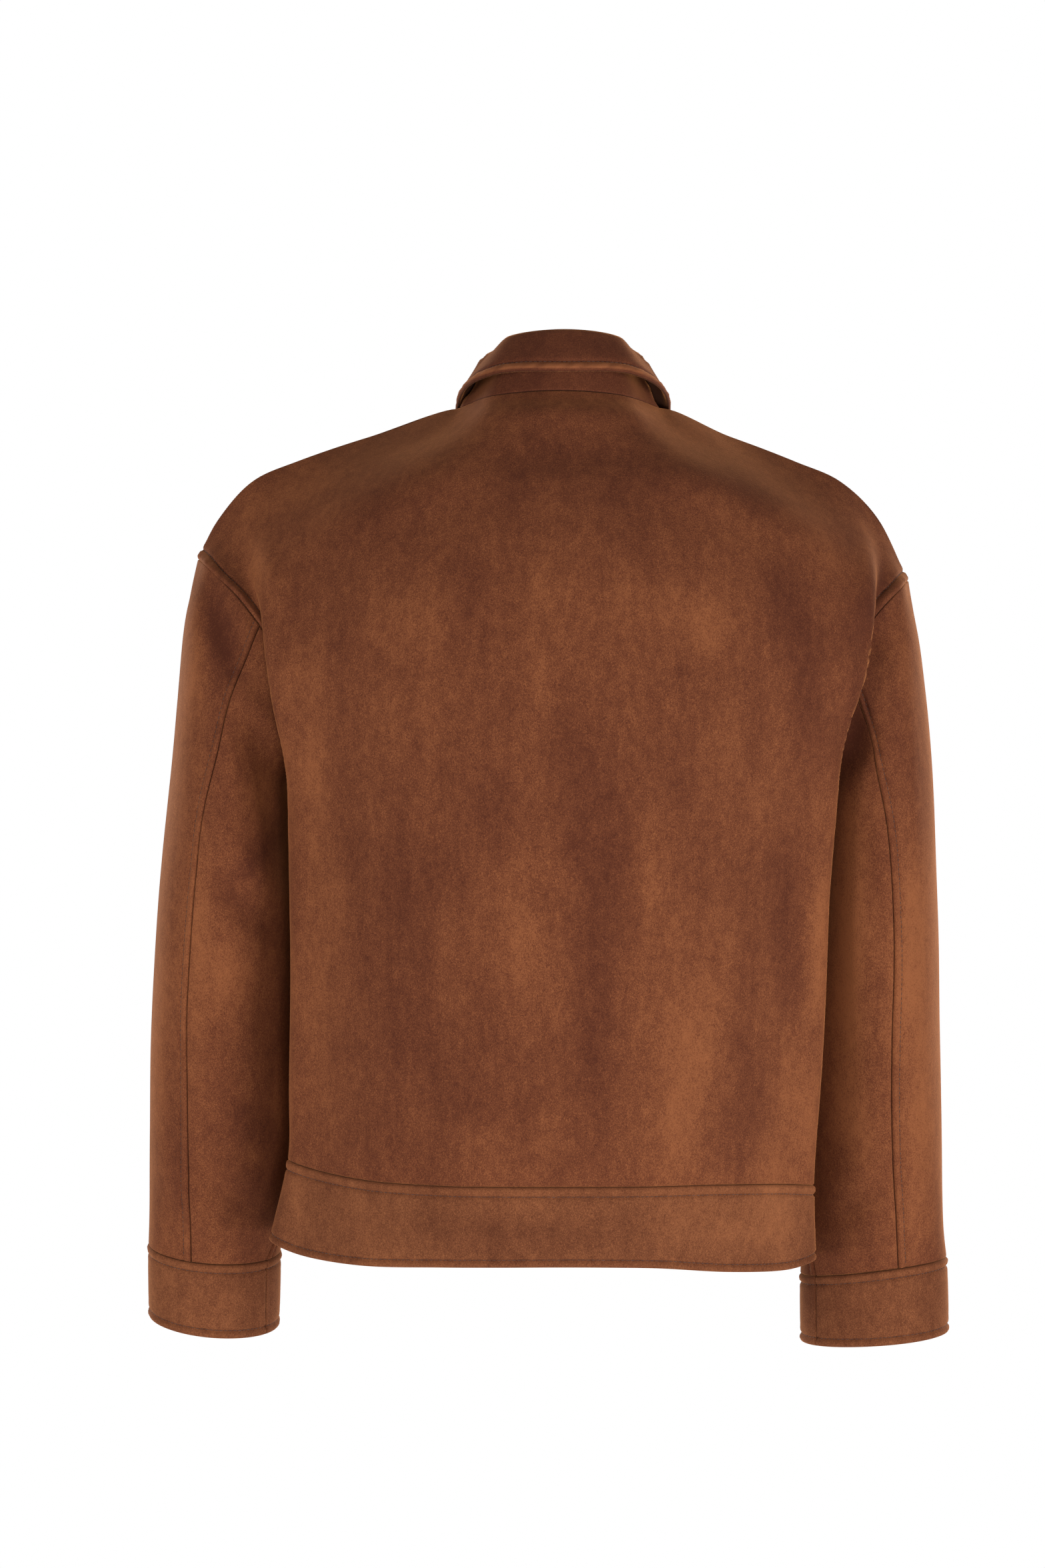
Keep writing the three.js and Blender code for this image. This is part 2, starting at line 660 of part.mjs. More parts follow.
// A closed wall: the outer face, the inner face one cloth thickness below it, and the edges.
function wallOf(piece) {
  const outer = [];
  const inner = [];
  const slants = [];
  piece.grid.forEach((row, r) => {
    const normals = row.map(directionAt);
    const slant = row.map((_, c) => normals[c].dot(piece.own[r][c]));
    const depth = slant.map((value) => CLOTH * Math.min(1 / Math.max(value, SHARPEST), LONGEST_MITRE));
    const proud = row.map((_, c) => (piece.relief && c >= piece.plainColumns ? piece.relief[r] : 0));
    outer.push(row.map((place, c) => place.clone().addScaledVector(normals[c], proud[c])));
    inner.push(row.map((place, c) => place.clone().addScaledVector(normals[c], -depth[c])));
    slants.push(slant);
  });
  const skins = [drawnBack(outer, piece, slants), drawnBack(inner, piece, slants)];
  const corners = [...outer.flat(), ...inner.flat()];
  const columns = piece.grid[0].length;
  const rows = piece.grid.length;
  const positions = skins.flat(2).flatMap((place) => place.toArray());
  const at = (skin, r, c) => skin * rows * columns + r * columns + c;
  const faces = [];
  const quad = (a, b, c, d) => {
    faces.push(a, b, c, a, c, d);
  };
  // An end face takes its shorter diagonal, so that the piece on the other side of the seam has the same.
  const endQuad = (a, b, c, d) => {
    if (corners[a].distanceTo(corners[c]) < corners[b].distanceTo(corners[d])) {
      quad(a, b, c, d);
    } else {
      quad(b, c, d, a);
    }
  };
  eachQuad(piece, (r, c, below, beside) => {
    quad(at(0, r, c), at(0, r, beside), at(0, below, beside), at(0, below, c));
    quad(at(1, r, c), at(1, below, c), at(1, below, beside), at(1, r, beside));
  });
  const lastRow = rows - 1;
  const lastColumn = columns - 1;
  const steps = piece.closed ? columns : lastColumn;
  for (let c = 0; c < steps; c += 1) {
    const d = nextColumn(piece, c);
    endQuad(at(0, 0, d), at(0, 0, c), at(1, 0, c), at(1, 0, d));
    endQuad(at(0, lastRow, c), at(0, lastRow, d), at(1, lastRow, d), at(1, lastRow, c));
  }
  if (!piece.closed) {
    for (let r = 0; r < lastRow; r += 1) {
      endQuad(at(0, r, 0), at(0, r + 1, 0), at(1, r + 1, 0), at(1, r, 0));
      endQuad(at(0, r + 1, lastColumn), at(0, r, lastColumn), at(1, r, lastColumn), at(1, r + 1, lastColumn));
    }
  }
  if (piece.facing < 0) {
    for (let i = 0; i < faces.length; i += 3) {
      [faces[i + 1], faces[i + 2]] = [faces[i + 2], faces[i + 1]];
    }
  }
  const geometry = new THREE.BufferGeometry();
  geometry.setAttribute("position", new THREE.Float32BufferAttribute(positions, 3));
  geometry.setIndex(faces);
  geometry.computeVertexNormals();
  return geometry;
}

const jacket = new THREE.Group();

for (const piece of pieces) {
  const material = new THREE.MeshStandardMaterial({ color: piece.colour, roughness: 0.9, metalness: 0 });
  const mesh = new THREE.Mesh(wallOf(piece), material);
  mesh.name = piece.name;
  jacket.add(mesh);
}

// Buttons down the centre of the upper front, the last one on the waistband.
function buttonGeometry() {
  const half = BUTTON_THICKNESS / 2;
  const rim = BUTTON_RADIUS;
  const profile = [
    [0, -half],
    [rim - 1.2, -half],
    [rim, -half + 0.9],
    [rim, half - 1],
    [rim - 1, half],
    [rim - 2.6, half - 0.2],
    [rim - 3.6, half - 1],
    [0, half - 1],
  ];
  return new THREE.LatheGeometry(profile.map(([r, y]) => new THREE.Vector2(r, y)), 16);
}

BUTTON_ROWS.forEach((down, i) => {
  const normal = netNormal(frontNet, 0, down, 1);
  const height = CLOTH + LAP_SPACE + BUTTON_SPACE + BUTTON_THICKNESS / 2;
  const onBand = down > WAIST_ROW ? SEAM_RIB * BAND_SWELL : 0;
  const material = new THREE.MeshStandardMaterial({ color: BUTTON_BROWN, roughness: 0.4, metalness: 0 });
  const button = new THREE.Mesh(buttonGeometry(), material);
  button.name = `button_${i + 1}`;
  button.position.copy(netPoint(frontNet, 0, down)).addScaledVector(normal, height + onBand);
  button.quaternion.setFromUnitVectors(point(0, 1, 0), normal);
  jacket.add(button);
});

export default jacket;
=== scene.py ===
# %% [markdown]
# A brown suede jacket, seen from behind. It is filled out as on a wearer, and hollow inside.
# The jacket is cut from one thick brushed cloth, so nearly everything here is a sheet: a back, two
# fronts, sleeves in two pieces, cuffs, a waistband and a collar. A sheet of cloth could be simulated,
# but a new garment made of stiff suede hangs in large calm forms, so each sheet is worked out as a
# surface of two parameters, across the cloth and down it, and then gets its seams, stitches and nap.

import json

import bmesh
import bpy
import numpy as np
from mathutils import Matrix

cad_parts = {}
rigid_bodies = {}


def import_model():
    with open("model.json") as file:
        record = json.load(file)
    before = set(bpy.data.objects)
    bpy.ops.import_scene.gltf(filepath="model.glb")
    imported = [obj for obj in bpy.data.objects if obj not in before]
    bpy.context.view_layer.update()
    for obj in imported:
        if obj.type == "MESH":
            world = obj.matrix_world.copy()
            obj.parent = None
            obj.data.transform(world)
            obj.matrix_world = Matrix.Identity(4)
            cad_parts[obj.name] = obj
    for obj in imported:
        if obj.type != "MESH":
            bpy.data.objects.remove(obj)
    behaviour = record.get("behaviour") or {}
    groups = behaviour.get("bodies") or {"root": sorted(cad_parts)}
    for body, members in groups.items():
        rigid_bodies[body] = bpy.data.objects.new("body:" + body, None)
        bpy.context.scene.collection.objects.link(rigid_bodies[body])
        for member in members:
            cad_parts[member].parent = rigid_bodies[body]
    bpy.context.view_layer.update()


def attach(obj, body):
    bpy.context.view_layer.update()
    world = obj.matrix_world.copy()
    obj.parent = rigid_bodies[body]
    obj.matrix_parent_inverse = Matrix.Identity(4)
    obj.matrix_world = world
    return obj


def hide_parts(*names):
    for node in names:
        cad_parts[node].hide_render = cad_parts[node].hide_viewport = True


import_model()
MM = 0.001

# %% [markdown]
# The camera comes first, because everything else is judged through it. The photograph was taken from
# straight behind, at the height of the shoulder blades, from about three metres. A lens that long keeps
# the collar and the hem at the same scale. The camera looks along +Y, so the jacket's back faces it.

# %% Camera
CAMERA_PLACE = (-0.0225, -3.0, -0.273)
VIEW_HEIGHT = 1.15248           # metres of the jacket's plane that fill the picture from top to bottom
SENSOR = 36.0

camera_data = bpy.data.cameras.new("camera")
camera_data.sensor_width = SENSOR
camera_data.lens = SENSOR * abs(CAMERA_PLACE[1]) / VIEW_HEIGHT
camera = bpy.data.objects.new("camera", camera_data)
camera.location = CAMERA_PLACE
camera.rotation_euler = (np.pi / 2, 0, 0)
bpy.context.scene.collection.objects.link(camera)
bpy.context.scene.camera = camera
print("lens in mm:", round(camera_data.lens, 1))

# %% [markdown]
# A garment's shape is a few sections, as a pattern cutter drafts it: where the shoulder lies, how deep
# the armhole is, how wide the chest and the hem are. The tables give those sections in millimetres.
# left and right differ, because a jacket never hangs evenly. Rows run from the neck down to the hem.

# %% Sizes of the body
CLOTH = 2.0                     # thickness of the suede with its backing
LAP = 16.0                      # how far each front runs past the centre front
LAP_SPACE = 0.7                 # air between the two fronts where they lap
LAP_FADE = 45.0                 # distance over which the upper front sinks back to its own line


def table(names, *rows):
    """Named columns of a table of numbers, each as one array."""
    return {name: np.array(column, float) for name, column in zip(names.split(), zip(*rows))}


ARMHOLE = {
    "left": dict(tip_x=262.5, tip_z=-107, under_x=181, under_z=-262, y=6.5, half=63, inward=22, rise=6),
    "right": dict(tip_x=262.5, tip_z=-123, under_x=184, under_z=-264, y=6.5, half=63, inward=13, rise=9),
}
SHOULDER = table(
    "left right z y",
    (70, 79, 3, 0),
    (136, 130, -17, 4),
    (188, 178, -35.5, 5),
    (222, 212, -50.5, 6),
    (247.5, 241, -78, 8),
)
# z, y and middle are at the centre line; ridge is the soft fold beside the sleeve, drop is how much
# higher it lies on the left; hollow is the trough beyond it; angle is the section's place on the armhole.
BACK = table(
    "angle z y middle ridge_left ridge_right ridge_y ridge_z drop hollow",
    (0, 11, -60, 3, 218, 212, 6, -50, 0, 0),
    (30, -24, -88, 4, 216, 229, -33, -106, 0, 5),
    (60, -70, -114, 5, 207, 229, -60, -143, 0, 8),
    (90, -124, -131, 5, 202, 222, -71, -187, 0, 4),
    (120, -180, -138, 5, 198, 212, -70, -226, 0, 2),
    (150, -230, -140, 4, 194, 207, -66, -257, 0, 7),
    (180, -272, -140, 4, 191.5, 204.5, -63, -284, 0, 10),
    (0, -345, -137, 3, 190, 199, -60, -347, 0, 5),
    (0, -420, -134, 3, 190, 196, -58, -421, 0, 4),
    (0, -495, -131, 2, 191, 192.5, -55, -494, 3, 2),
    (0, -557, -128, 0, 192, 188.5, -50, -554, 9, 2),
    (0, -614, -125, 0, 205, 189.5, -47, -611, 7, 2),
)
FRONT = table(
    "angle z y middle ridge_left ridge_right ridge_y ridge_z drop hollow",
    (0, -66, 72, 3, 218, 212, 6, -50, 0, 0),
    (30, -94, 98, 4, 214, 218, 40, -107, 0, 4),
    (60, -122, 117, 5, 204, 210, 66, -145, 0, 6),
    (90, -158, 131, 5, 195, 201, 79, -188, 0, 5),
    (120, -198, 138, 5, 190, 196, 77, -226, 0, 2),
    (150, -238, 141, 4, 188, 194, 75, -257, 0, 5),
    (180, -275, 141, 4, 188, 193, 72, -284, 0, 7),
    (0, -345, 139, 3, 188, 193, 67, -347, 0, 5),
    (0, -420, 137, 3, 187, 190, 65, -421, 0, 2),
    (0, -495, 134, 2, 187, 187, 62, -494, 3, 2),
    (0, -557, 131, 0, 187, 182, 60, -554, 9, 2),
    (0, -615, 128, 0, 189, 181, 58, -613, 9, 2),
)
# The side seam below the underarm, for the last five sections of both tables.
SIDE = table(
    "left right y z drop",
    (183, 187, 6, -347, 0),
    (183.5, 186, 7, -421, 0),
    (184, 183.5, 8, -494, 3),
    (184.5, 180, 8, -554, 9),
    (188, 179.5, 8, -611, 9),
)
SHARES = np.array([0, 0.21, 0.4, 0.66, 0.88])
NECK_COLUMN, EDGE_COLUMN = 2, 7
UNDERARM_ROW, WAIST_ROW, HEM_ROW = 6, 10, 11
DEPTH_POWER = 2.5               # how late a section turns away from the centre
FALL_POWER, LOW_FALL_POWER = 1.6, 5
HEM_SAG = {"left": 4, "right": 7.3}  # how far the back's hem sags beside its two ridges
SIGN = {"left": -1, "right": 1}

# %% [markdown]
# A smooth curve through a few key points is the tool for every form here. Of the usual choices a Bezier
# curve needs handles and a B-spline misses its points, but a Catmull-Rom curve passes through each one,
# so a size in the tables is a size on the jacket. It is worked out for whole arrays at once.

# %% Smooth curves and the net of the body


def point(x, y, z):
    """Points from arrays or numbers of x, y and z."""
    return np.stack(np.broadcast_arrays(x, y, z), axis=-1).astype(float)


def through(points, t):
    """Places at t on a smooth curve through evenly counted key points.

    Between two key points it is the cubic that leaves each with half the step from the one before to
    the one after. points is (keys, 3) for one curve, or (keys, shape of t, 3) for a curve per place.
    """
    first = 2 * points[:1] - points[1:2]
    last = 2 * points[-1:] - points[-2:-1]
    keys = np.concatenate([first, points, last])
    i = np.clip(np.floor(t), 0, len(points) - 2).astype(int)
    f = t - i
    weights = (
        0.5 * (-f + 2 * f**2 - f**3),
        0.5 * (2 - 5 * f**2 + 3 * f**3),
        0.5 * (f + 4 * f**2 - 3 * f**3),
        0.5 * (-(f**2) + f**3),
    )
    total = 0
    for step, weight in enumerate(weights):
        if points.ndim == 2:
            chosen = keys[i + step]
        else:
            chosen = np.take_along_axis(keys, (i + step)[None, ..., None], axis=0)[0]
        total = total + weight[..., None] * chosen
    return total


def smooth(value, low, high):
    """0 below low, 1 above high, and an even S between them."""
    share = np.clip((value - low) / (high - low), 0, 1)
    return share * share * (3 - 2 * share)


def armhole(side, degrees):
    """The armhole seam: an upright ellipse, tilted from the shoulder point to the underarm.

    0 degrees is the shoulder, 90 the back, 180 the underarm and -90 the front.
    """
    hole = ARMHOLE[side]
    angle = np.radians(degrees)
    along = (1 + np.cos(angle)) / 2
    drawn = np.sin(angle) ** 2
    x = hole["under_x"] + (hole["tip_x"] - hole["under_x"]) * along - hole["inward"] * drawn
    z = hole["under_z"] + (hole["tip_z"] - hole["under_z"]) * along + hole["rise"] * drawn
    return point(SIGN[side] * x, hole["y"] - hole["half"] * np.sin(angle), z)


def half_net(sections, side, towards_back):
    """Key points of one half of the body: (section, column, 3), from the centre line outwards."""
    sign = SIGN[side]
    rows = np.arange(len(sections["z"]))
    centre = point(sections["middle"], sections["y"], sections["z"])
    ridge_z = sections["ridge_z"] - sign * sections["drop"]
    ridge = point(sign * sections["ridge_" + side], sections["ridge_y"], ridge_z)
    hole = armhole(side, (1 if towards_back else -1) * sections["angle"][: UNDERARM_ROW + 1])
    seam = point(sign * SIDE[side], SIDE["y"], SIDE["z"] - sign * SIDE["drop"])
    edge = np.concatenate([hole, seam])
    fall = np.where(rows < WAIST_ROW, FALL_POWER, LOW_FALL_POWER)
    reach = point(SHARES, SHARES**DEPTH_POWER, SHARES ** fall[:, None])
    out = centre[:, None] + (ridge - centre)[:, None] * reach
    if towards_back:
        out[HEM_ROW, :, 2] -= HEM_SAG[side] * np.sin(np.pi * SHARES**3)
    hollow = (ridge + edge) / 2
    hollow[:, 0] -= sign * 0.6 * sections["hollow"]
    hollow[:, 1] += (0.8 if towards_back else -0.8) * sections["hollow"]
    net = np.concatenate([out, ridge[:, None], hollow[:, None], edge[:, None]], axis=1)
    shoulder = point(sign * SHOULDER[side], SHOULDER["y"], SHOULDER["z"])
    x, y, z = centre[0]
    nape = point(x + 0.62 * (shoulder[0, 0] - x), 0.78 * y, z + 0.3 * (shoulder[0, 2] - z))
    net[0] = np.concatenate([centre[:1], nape[None], shoulder, edge[:1]])
    return net


def whole_net(sections, towards_back):
    """Key points of the back or of both fronts, from the left edge to the right edge."""
    left = half_net(sections, "left", towards_back)
    right = half_net(sections, "right", towards_back)
    return np.concatenate([left[:, :0:-1], right], axis=1)


NETS = {"back": whole_net(BACK, True), "front": whole_net(FRONT, False)}
OUTWARD = {"back": -1, "front": 1}


def net_place(net, across, down):
    """Places on a net: each section is read across first, then the column that this gives is read down."""
    sections = np.stack([through(section, across + EDGE_COLUMN) for section in net])
    return through(sections, down)


def net_normal(panel, across, down):
    """Outward directions of the back or the front, square to the net's own two directions."""
    step = 0.03
    net = NETS[panel]
    along = net_place(net, across + step, down) - net_place(net, across - step, down)
    below = net_place(net, across, down + step) - net_place(net, across, down - step)
    normal = np.cross(along, below) * OUTWARD[panel]
    return normal / np.linalg.norm(normal, axis=-1, keepdims=True)


print("key points of the body:", sum(net.shape[0] * net.shape[1] for net in NETS.values()))

# %% [markdown]
# Heavy cloth keeps a few large soft folds: from the shoulder blade to the armhole, and down the sides
# above the waistband. Each is a trough or a ridge along a line, deepest at its middle, with a
# bell-shaped section. They die out before the seams, where the pieces have to meet.
# The left front laps over the right one, so it is lifted by the cloth's thickness near the centre.

# %% Folds and the lap of the fronts
LINE = "from_across from_down to_across to_down width depth"
FOLDS = {
    "back": table(
        LINE,
        (-6.2, 1.6, -4.2, 4.6, 0.8, 4),
        (6.2, 1.8, 4.3, 4.4, 0.8, 4),
        (-4.4, 7.2, -4.1, 9.8, 0.7, -3),
        (2.6, 6.4, 3.4, 9.6, 1.0, -3),
        (-1.0, 4.5, -0.6, 9.0, 1.2, 2),
    ),
    "front": table(
        LINE,
        (-5.8, 2.2, -3.6, 5.4, 0.9, 4),
        (5.6, 2.0, 3.4, 5.0, 0.9, 4),
        (3.2, 6.8, 3.8, 9.6, 0.9, -3),
    ),
}


def crease_depth(lines, across, down):
    """Sum of soft folds: depth times a half sine along each line times a bell across it."""
    total = np.zeros(np.shape(across))
    for i in range(len(lines["depth"])):
        start = lines["from_across"][i], lines["from_down"][i]
        run = lines["to_across"][i] - start[0], lines["to_down"][i] - start[1]
        length = run[0] ** 2 + run[1] ** 2
        held = np.clip(((across - start[0]) * run[0] + (down - start[1]) * run[1]) / length, 0, 1)
        away = (across - start[0] - held * run[0]) ** 2 + (down - start[1] - held * run[1]) ** 2
        bell = np.exp(-away / lines["width"][i] ** 2)
        total += lines["depth"][i] * np.sin(np.pi * (0.1 + 0.8 * held)) * bell
    return total


def away_from_seams(across, down):
    """1 inside a body piece, sinking to 0 at its outer seams, at the shoulder and at the waist."""
    side = smooth(EDGE_COLUMN - np.abs(across), 0, 1.5)
    return side * smooth(down, 0, 1.5) * smooth(WAIST_ROW - down, 0, 1)


def first_column_width(down):
    """Width of the front's first key column at a height, in millimetres."""
    zero = np.zeros(np.shape(down))
    return net_place(NETS["front"], zero + 1, down)[..., 0] - net_place(NETS["front"], zero, down)[..., 0]


def lap_lift(across, down):
    """How far the upper front lies over the under one: all of it at the lap, none beyond the fade."""
    beyond = -across * first_column_width(down) - LAP
    return (CLOTH + LAP_SPACE) * (1 - smooth(beyond, 4, 4 + LAP_FADE))


def unsewn(panel, across, down, lifted):
    """A place on the back or a front: the net, moved out by its folds and by the lap."""
    proud = crease_depth(FOLDS[panel], across, down) * away_from_seams(across, down)
    if lifted:
        proud = proud + lap_lift(across, down)
    return net_place(NETS[panel], across, down) + net_normal(panel, across, down) * proud[..., None]


def body_place(panel, across, down, lifted=False):
    """The same place after sewing: at the shoulder and side seams, back and front meet half way."""
    across, down = np.broadcast_arrays(np.asarray(across, float), np.asarray(down, float))
    other = {"back": "front", "front": "back"}[panel]
    place = unsewn(panel, across, down, lifted)
    outer = np.sign(across) * np.maximum(np.abs(across), NECK_COLUMN)
    shoulder = net_place(NETS[other], outer, 0 * down) - net_place(NETS[panel], outer, 0 * down)
    at_shoulder = (np.abs(across) > NECK_COLUMN) * (1 - smooth(down, 0, 0.5))
    edge = np.where(across < 0, -EDGE_COLUMN, EDGE_COLUMN)
    low = np.maximum(down, UNDERARM_ROW)
    side = net_place(NETS[other], edge, low) - net_place(NETS[panel], edge, low)
    at_side = (down > UNDERARM_ROW) * (1 - smooth(EDGE_COLUMN - np.abs(across), 0, 1))
    return place + (shoulder * at_shoulder[..., None] + side * at_side[..., None]) / 2


print("hem of the back at the centre, mm:", np.round(body_place("back", 0.0, 11.0)))

# %% [markdown]
# A sleeve is a bent tube. Its first ring is the armhole of the body, point for point, so that both can
# be sewn together; the others are ellipses given by their outer point, their inner point and half
# their depth. The column number runs from the shoulder round the back: 12 is the underarm, 24 the start.

# %% Sizes and places of the sleeves
SECTION_NAMES = "out_x out_z in_x in_z y half tilt turn under"
SLEEVE = {
    "left": table(
        SECTION_NAMES,
        (270.5, -150, 193, -270, 3, 61, 0, 14, 0),
        (276.8, -217, 193, -296, 6, 67, 0, 5, 0),
        (284, -290, 190.5, -335, 11, 71, 0, -7, 0),
        (292.5, -375, 189, -395, 17, 70, 0, -10, 0),
        (297, -455, 189.5, -465, 23, 65, 0, -10, 0),
        (299, -530, 192, -535, 29, 59, 2, -8, 0),
        (299.5, -586, 197, -588, 34, 51, 5, -5, -10),
        (300.5, -614, 202.5, -620.5, 36, 43, 8, -2, -33),
        (300.5, -667.5, 203, -675.5, 38, 43, 8, -2, -33),
    ),
    "right": table(
        SECTION_NAMES,
        (269.6, -165, 198, -271, 4, 62, 0, 14, 0),
        (275.5, -217, 197, -298, 6, 67, 0, 6, 0),
        (281.2, -290, 195, -335, 11, 71, 0, -4, 0),
        (285.3, -375, 192.5, -395, 17, 70, 0, -9, 0),
        (286.8, -455, 190, -465, 23, 65, 0, -8, 0),
        (288.3, -530, 187.5, -535, 29, 60, 0, -10, 0),
        (290, -596, 185.5, -602, 34, 52, 0, -15, -8),
        (292.5, -624, 184.5, -637, 36, 45, 0, -16, -18),
        (294, -679.5, 185, -687.4, 38, 45, 2, -16, -18),
    ),
}
COLUMNS, UNDERARM_COLUMN = 24, 12
BACK_SEAM = {"left": 5, "right": 6}
SLEEVE_ROWS = 8                 # the ninth section in each table is the cuff's edge


def tube_places(side, column):
    """Places on all ellipses of a sleeve at once, (section, shape of column, 3)."""
    rings = {name: value.reshape(-1, *[1] * np.ndim(column)) for name, value in SLEEVE[side].items()}
    once = np.mod(column, COLUMNS)
    rising = (once - BACK_SEAM[side]) / (UNDERARM_COLUMN - BACK_SEAM[side])
    falling = (COLUMNS - once) / UNDERARM_COLUMN
    share = np.maximum(0, np.minimum(rising, falling))
    angle = np.radians(360 / COLUMNS * column + rings["turn"] + rings["under"] * share)
    along = (1 + np.cos(angle)) / 2
    x = rings["in_x"] + (rings["out_x"] - rings["in_x"]) * along
    z = rings["in_z"] + (rings["out_z"] - rings["in_z"]) * along - rings["tilt"] * np.sin(angle)
    return point(SIGN[side] * x, rings["y"] - rings["half"] * np.sin(angle), z)


def armhole_ring(side, column):
    """The body's own armhole edge: down the back from the shoulder, then up the front."""
    once = np.mod(column, COLUMNS)
    edge = SIGN[side] * EDGE_COLUMN + 0 * once
    back = body_place("back", edge, once / 2)
    front = body_place("front", edge, (COLUMNS - once) / 2)
    return np.where((once <= UNDERARM_COLUMN)[..., None], back, front)


def sleeve_place(side, column, down):
    """A place on a sleeve: the armhole and the ellipses, joined down each column."""
    rings = tube_places(side, column)[:SLEEVE_ROWS]
    return through(np.concatenate([armhole_ring(side, column)[None], rings]), down)


def cuff_place(side, column, down):
    """A place on a cuff: straight from the sleeve's last ring to the cuff's edge."""
    top, bottom = tube_places(side, column)[-2:]
    return top + (bottom - top) * down[..., None]


print("sleeve length in mm:", round(float(SLEEVE["left"]["out_z"][0] - SLEEVE["left"]["out_z"][-1])))

# %% [markdown]
# The collar is a stand that rises from the neck seam and a fall that rolls over it. turn is the angle
# round the neck, 0 at the centre back. The fall's edge stands a few millimetres off the back, as stiff
# suede does, which leaves the dark slit that shows at both sides.

# %% Sizes and places of the collar
COLLAR_MIDDLE, STAND_LEAN = 7.5, 3.5
COLLAR = table(
    "turn in back up edge_x edge_y edge_z",
    (0, 0, 12, 40, 0, -69, 24),
    (45, 9.5, 10, 39, 52, -53, 23),
    (90, 19.5, 1, 35, 78.5, 3, 7),
    (135, 8, -10, 32, 70, 62, -42),
    (180, 0, -12, 30, 26, 104, -96),
)
ROLL_UP, ROLL_OUT = 5.0, 6.0
FALL_END = 157.5                # angle round the neck where the fall stops
RIGHT_ANGLE = 90.0


def mirrored(names, signs):
    """Key points of three collar columns, with the second one repeated in front for the smooth start."""
    columns = [np.concatenate([[sign * COLLAR[n][1]], COLLAR[n]]) for n, sign in zip(names, signs)]
    return np.stack(columns, axis=-1)


def neck_seam(turn):
    """The neck seam: the back's top edge as far as the shoulders, then the fronts' top edges."""
    across = turn / RIGHT_ANGLE * NECK_COLUMN
    behind = body_place("back", np.clip(across, -NECK_COLUMN, NECK_COLUMN), 0 * turn)
    left = body_place("front", -(2 * NECK_COLUMN - np.abs(across)), 0 * turn, lifted=True)
    right = body_place("front", 2 * NECK_COLUMN - np.abs(across), 0 * turn)
    before = np.where((turn < 0)[..., None], left, right)
    return np.where((np.abs(turn) <= RIGHT_ANGLE)[..., None], behind, before)


def stand_place(turn, up):
    """A place on the stand: from the neck seam along a rise that changes round the neck."""
    keys = mirrored(("in", "back", "up"), (-1, 1, 1))
    rise = through(keys, np.minimum(np.abs(turn), 180) / 45 + 1)
    rise[..., 0] = STAND_LEAN - np.where(turn < 0, -1, 1) * rise[..., 0]
    return neck_seam(turn) + rise * up[..., None]


def fall_place(turn, down):
    """A place on the fall: up over the stand's top, then down in a shallow curve to its edge."""
    keys = mirrored(("edge_x", "edge_y", "edge_z"), (-1, 1, 1))
    edge = through(keys, np.abs(turn) / 45 + 1)
    edge[..., 0] = COLLAR_MIDDLE + np.where(turn < 0, -1, 1) * edge[..., 0]
    start = stand_place(turn, np.ones(np.shape(turn)))
    outward = (edge - start) * (1, 1, 0)
    outward /= np.linalg.norm(outward, axis=-1, keepdims=True)
    up = np.array((0, 0, 1.0))
    fold = start + outward * 1.5 + up * ROLL_UP
    over = start + outward * ROLL_OUT + up * ROLL_UP * 0.3
    middle = (over + edge) / 2 + outward * 1.5
    return through(np.stack([start, fold, over, middle, edge]), down)


print("collar's edge at the centre back, mm:", np.round(fall_place(np.zeros(1), np.full(1, 4.0))[0]))

# %% [markdown]
# To sew, one has to know how far a place is from the seam. A grid with even parameters does not tell
# that, so each piece is laid out again by length: lines at chosen distances from its four edges, close
# together where the seam rolls in and where the needle goes, and a few millimetres apart elsewhere.

# %% Laying a piece out by length
NEAR_EDGE = np.array([0, 0.35, 0.8, 1.4, 2.2, 3.2])
BESIDE_STITCH = np.array([-1.9, -0.9, 0, 0.9, 1.9, 3.4])
SPACING = 3.6                   # millimetres between the lines inside a piece
DENSE = 110                     # lines of the first, even grid
PLAIN_EDGE = (4.6, 6.6, 9.2)    # further lines beside an edge without stitches
MOST_ROOM = 0.42                # largest share of a short piece for the fine lines of one edge


def edge_lines(stitch):
    """Distances of the fine lines from one edge, with one on the line of stitches if there is one."""
    if not stitch:
        return np.append(NEAR_EDGE, PLAIN_EDGE)
    return np.concatenate([NEAR_EDGE[NEAR_EDGE < stitch - 2.4], stitch + BESIDE_STITCH])


def line_distances(length, stitches, spacing):
    """Distances of all lines from the first edge, for an array of lengths: (line, place)."""
    first, last = edge_lines(stitches[0]), edge_lines(stitches[1])
    room = np.minimum(1, MOST_ROOM * length / max(first[-1], last[-1]))
    between = length - (first[-1] + last[-1]) * room
    count = max(2, round(float(between.mean()) / spacing))
    inner = first[-1] * room + np.linspace(0, 1, count + 1)[1:-1, None] * between
    return np.concatenate([first[:, None] * room, inner, length - last[::-1, None] * room])


def run_along(places, axis):
    """Length run so far along the lines of a grid."""
    steps = np.linalg.norm(np.diff(places, axis=axis), axis=-1)
    start = np.zeros_like(np.take(steps, [0], axis=axis))
    return np.concatenate([start, np.cumsum(steps, axis=axis)], axis=axis)


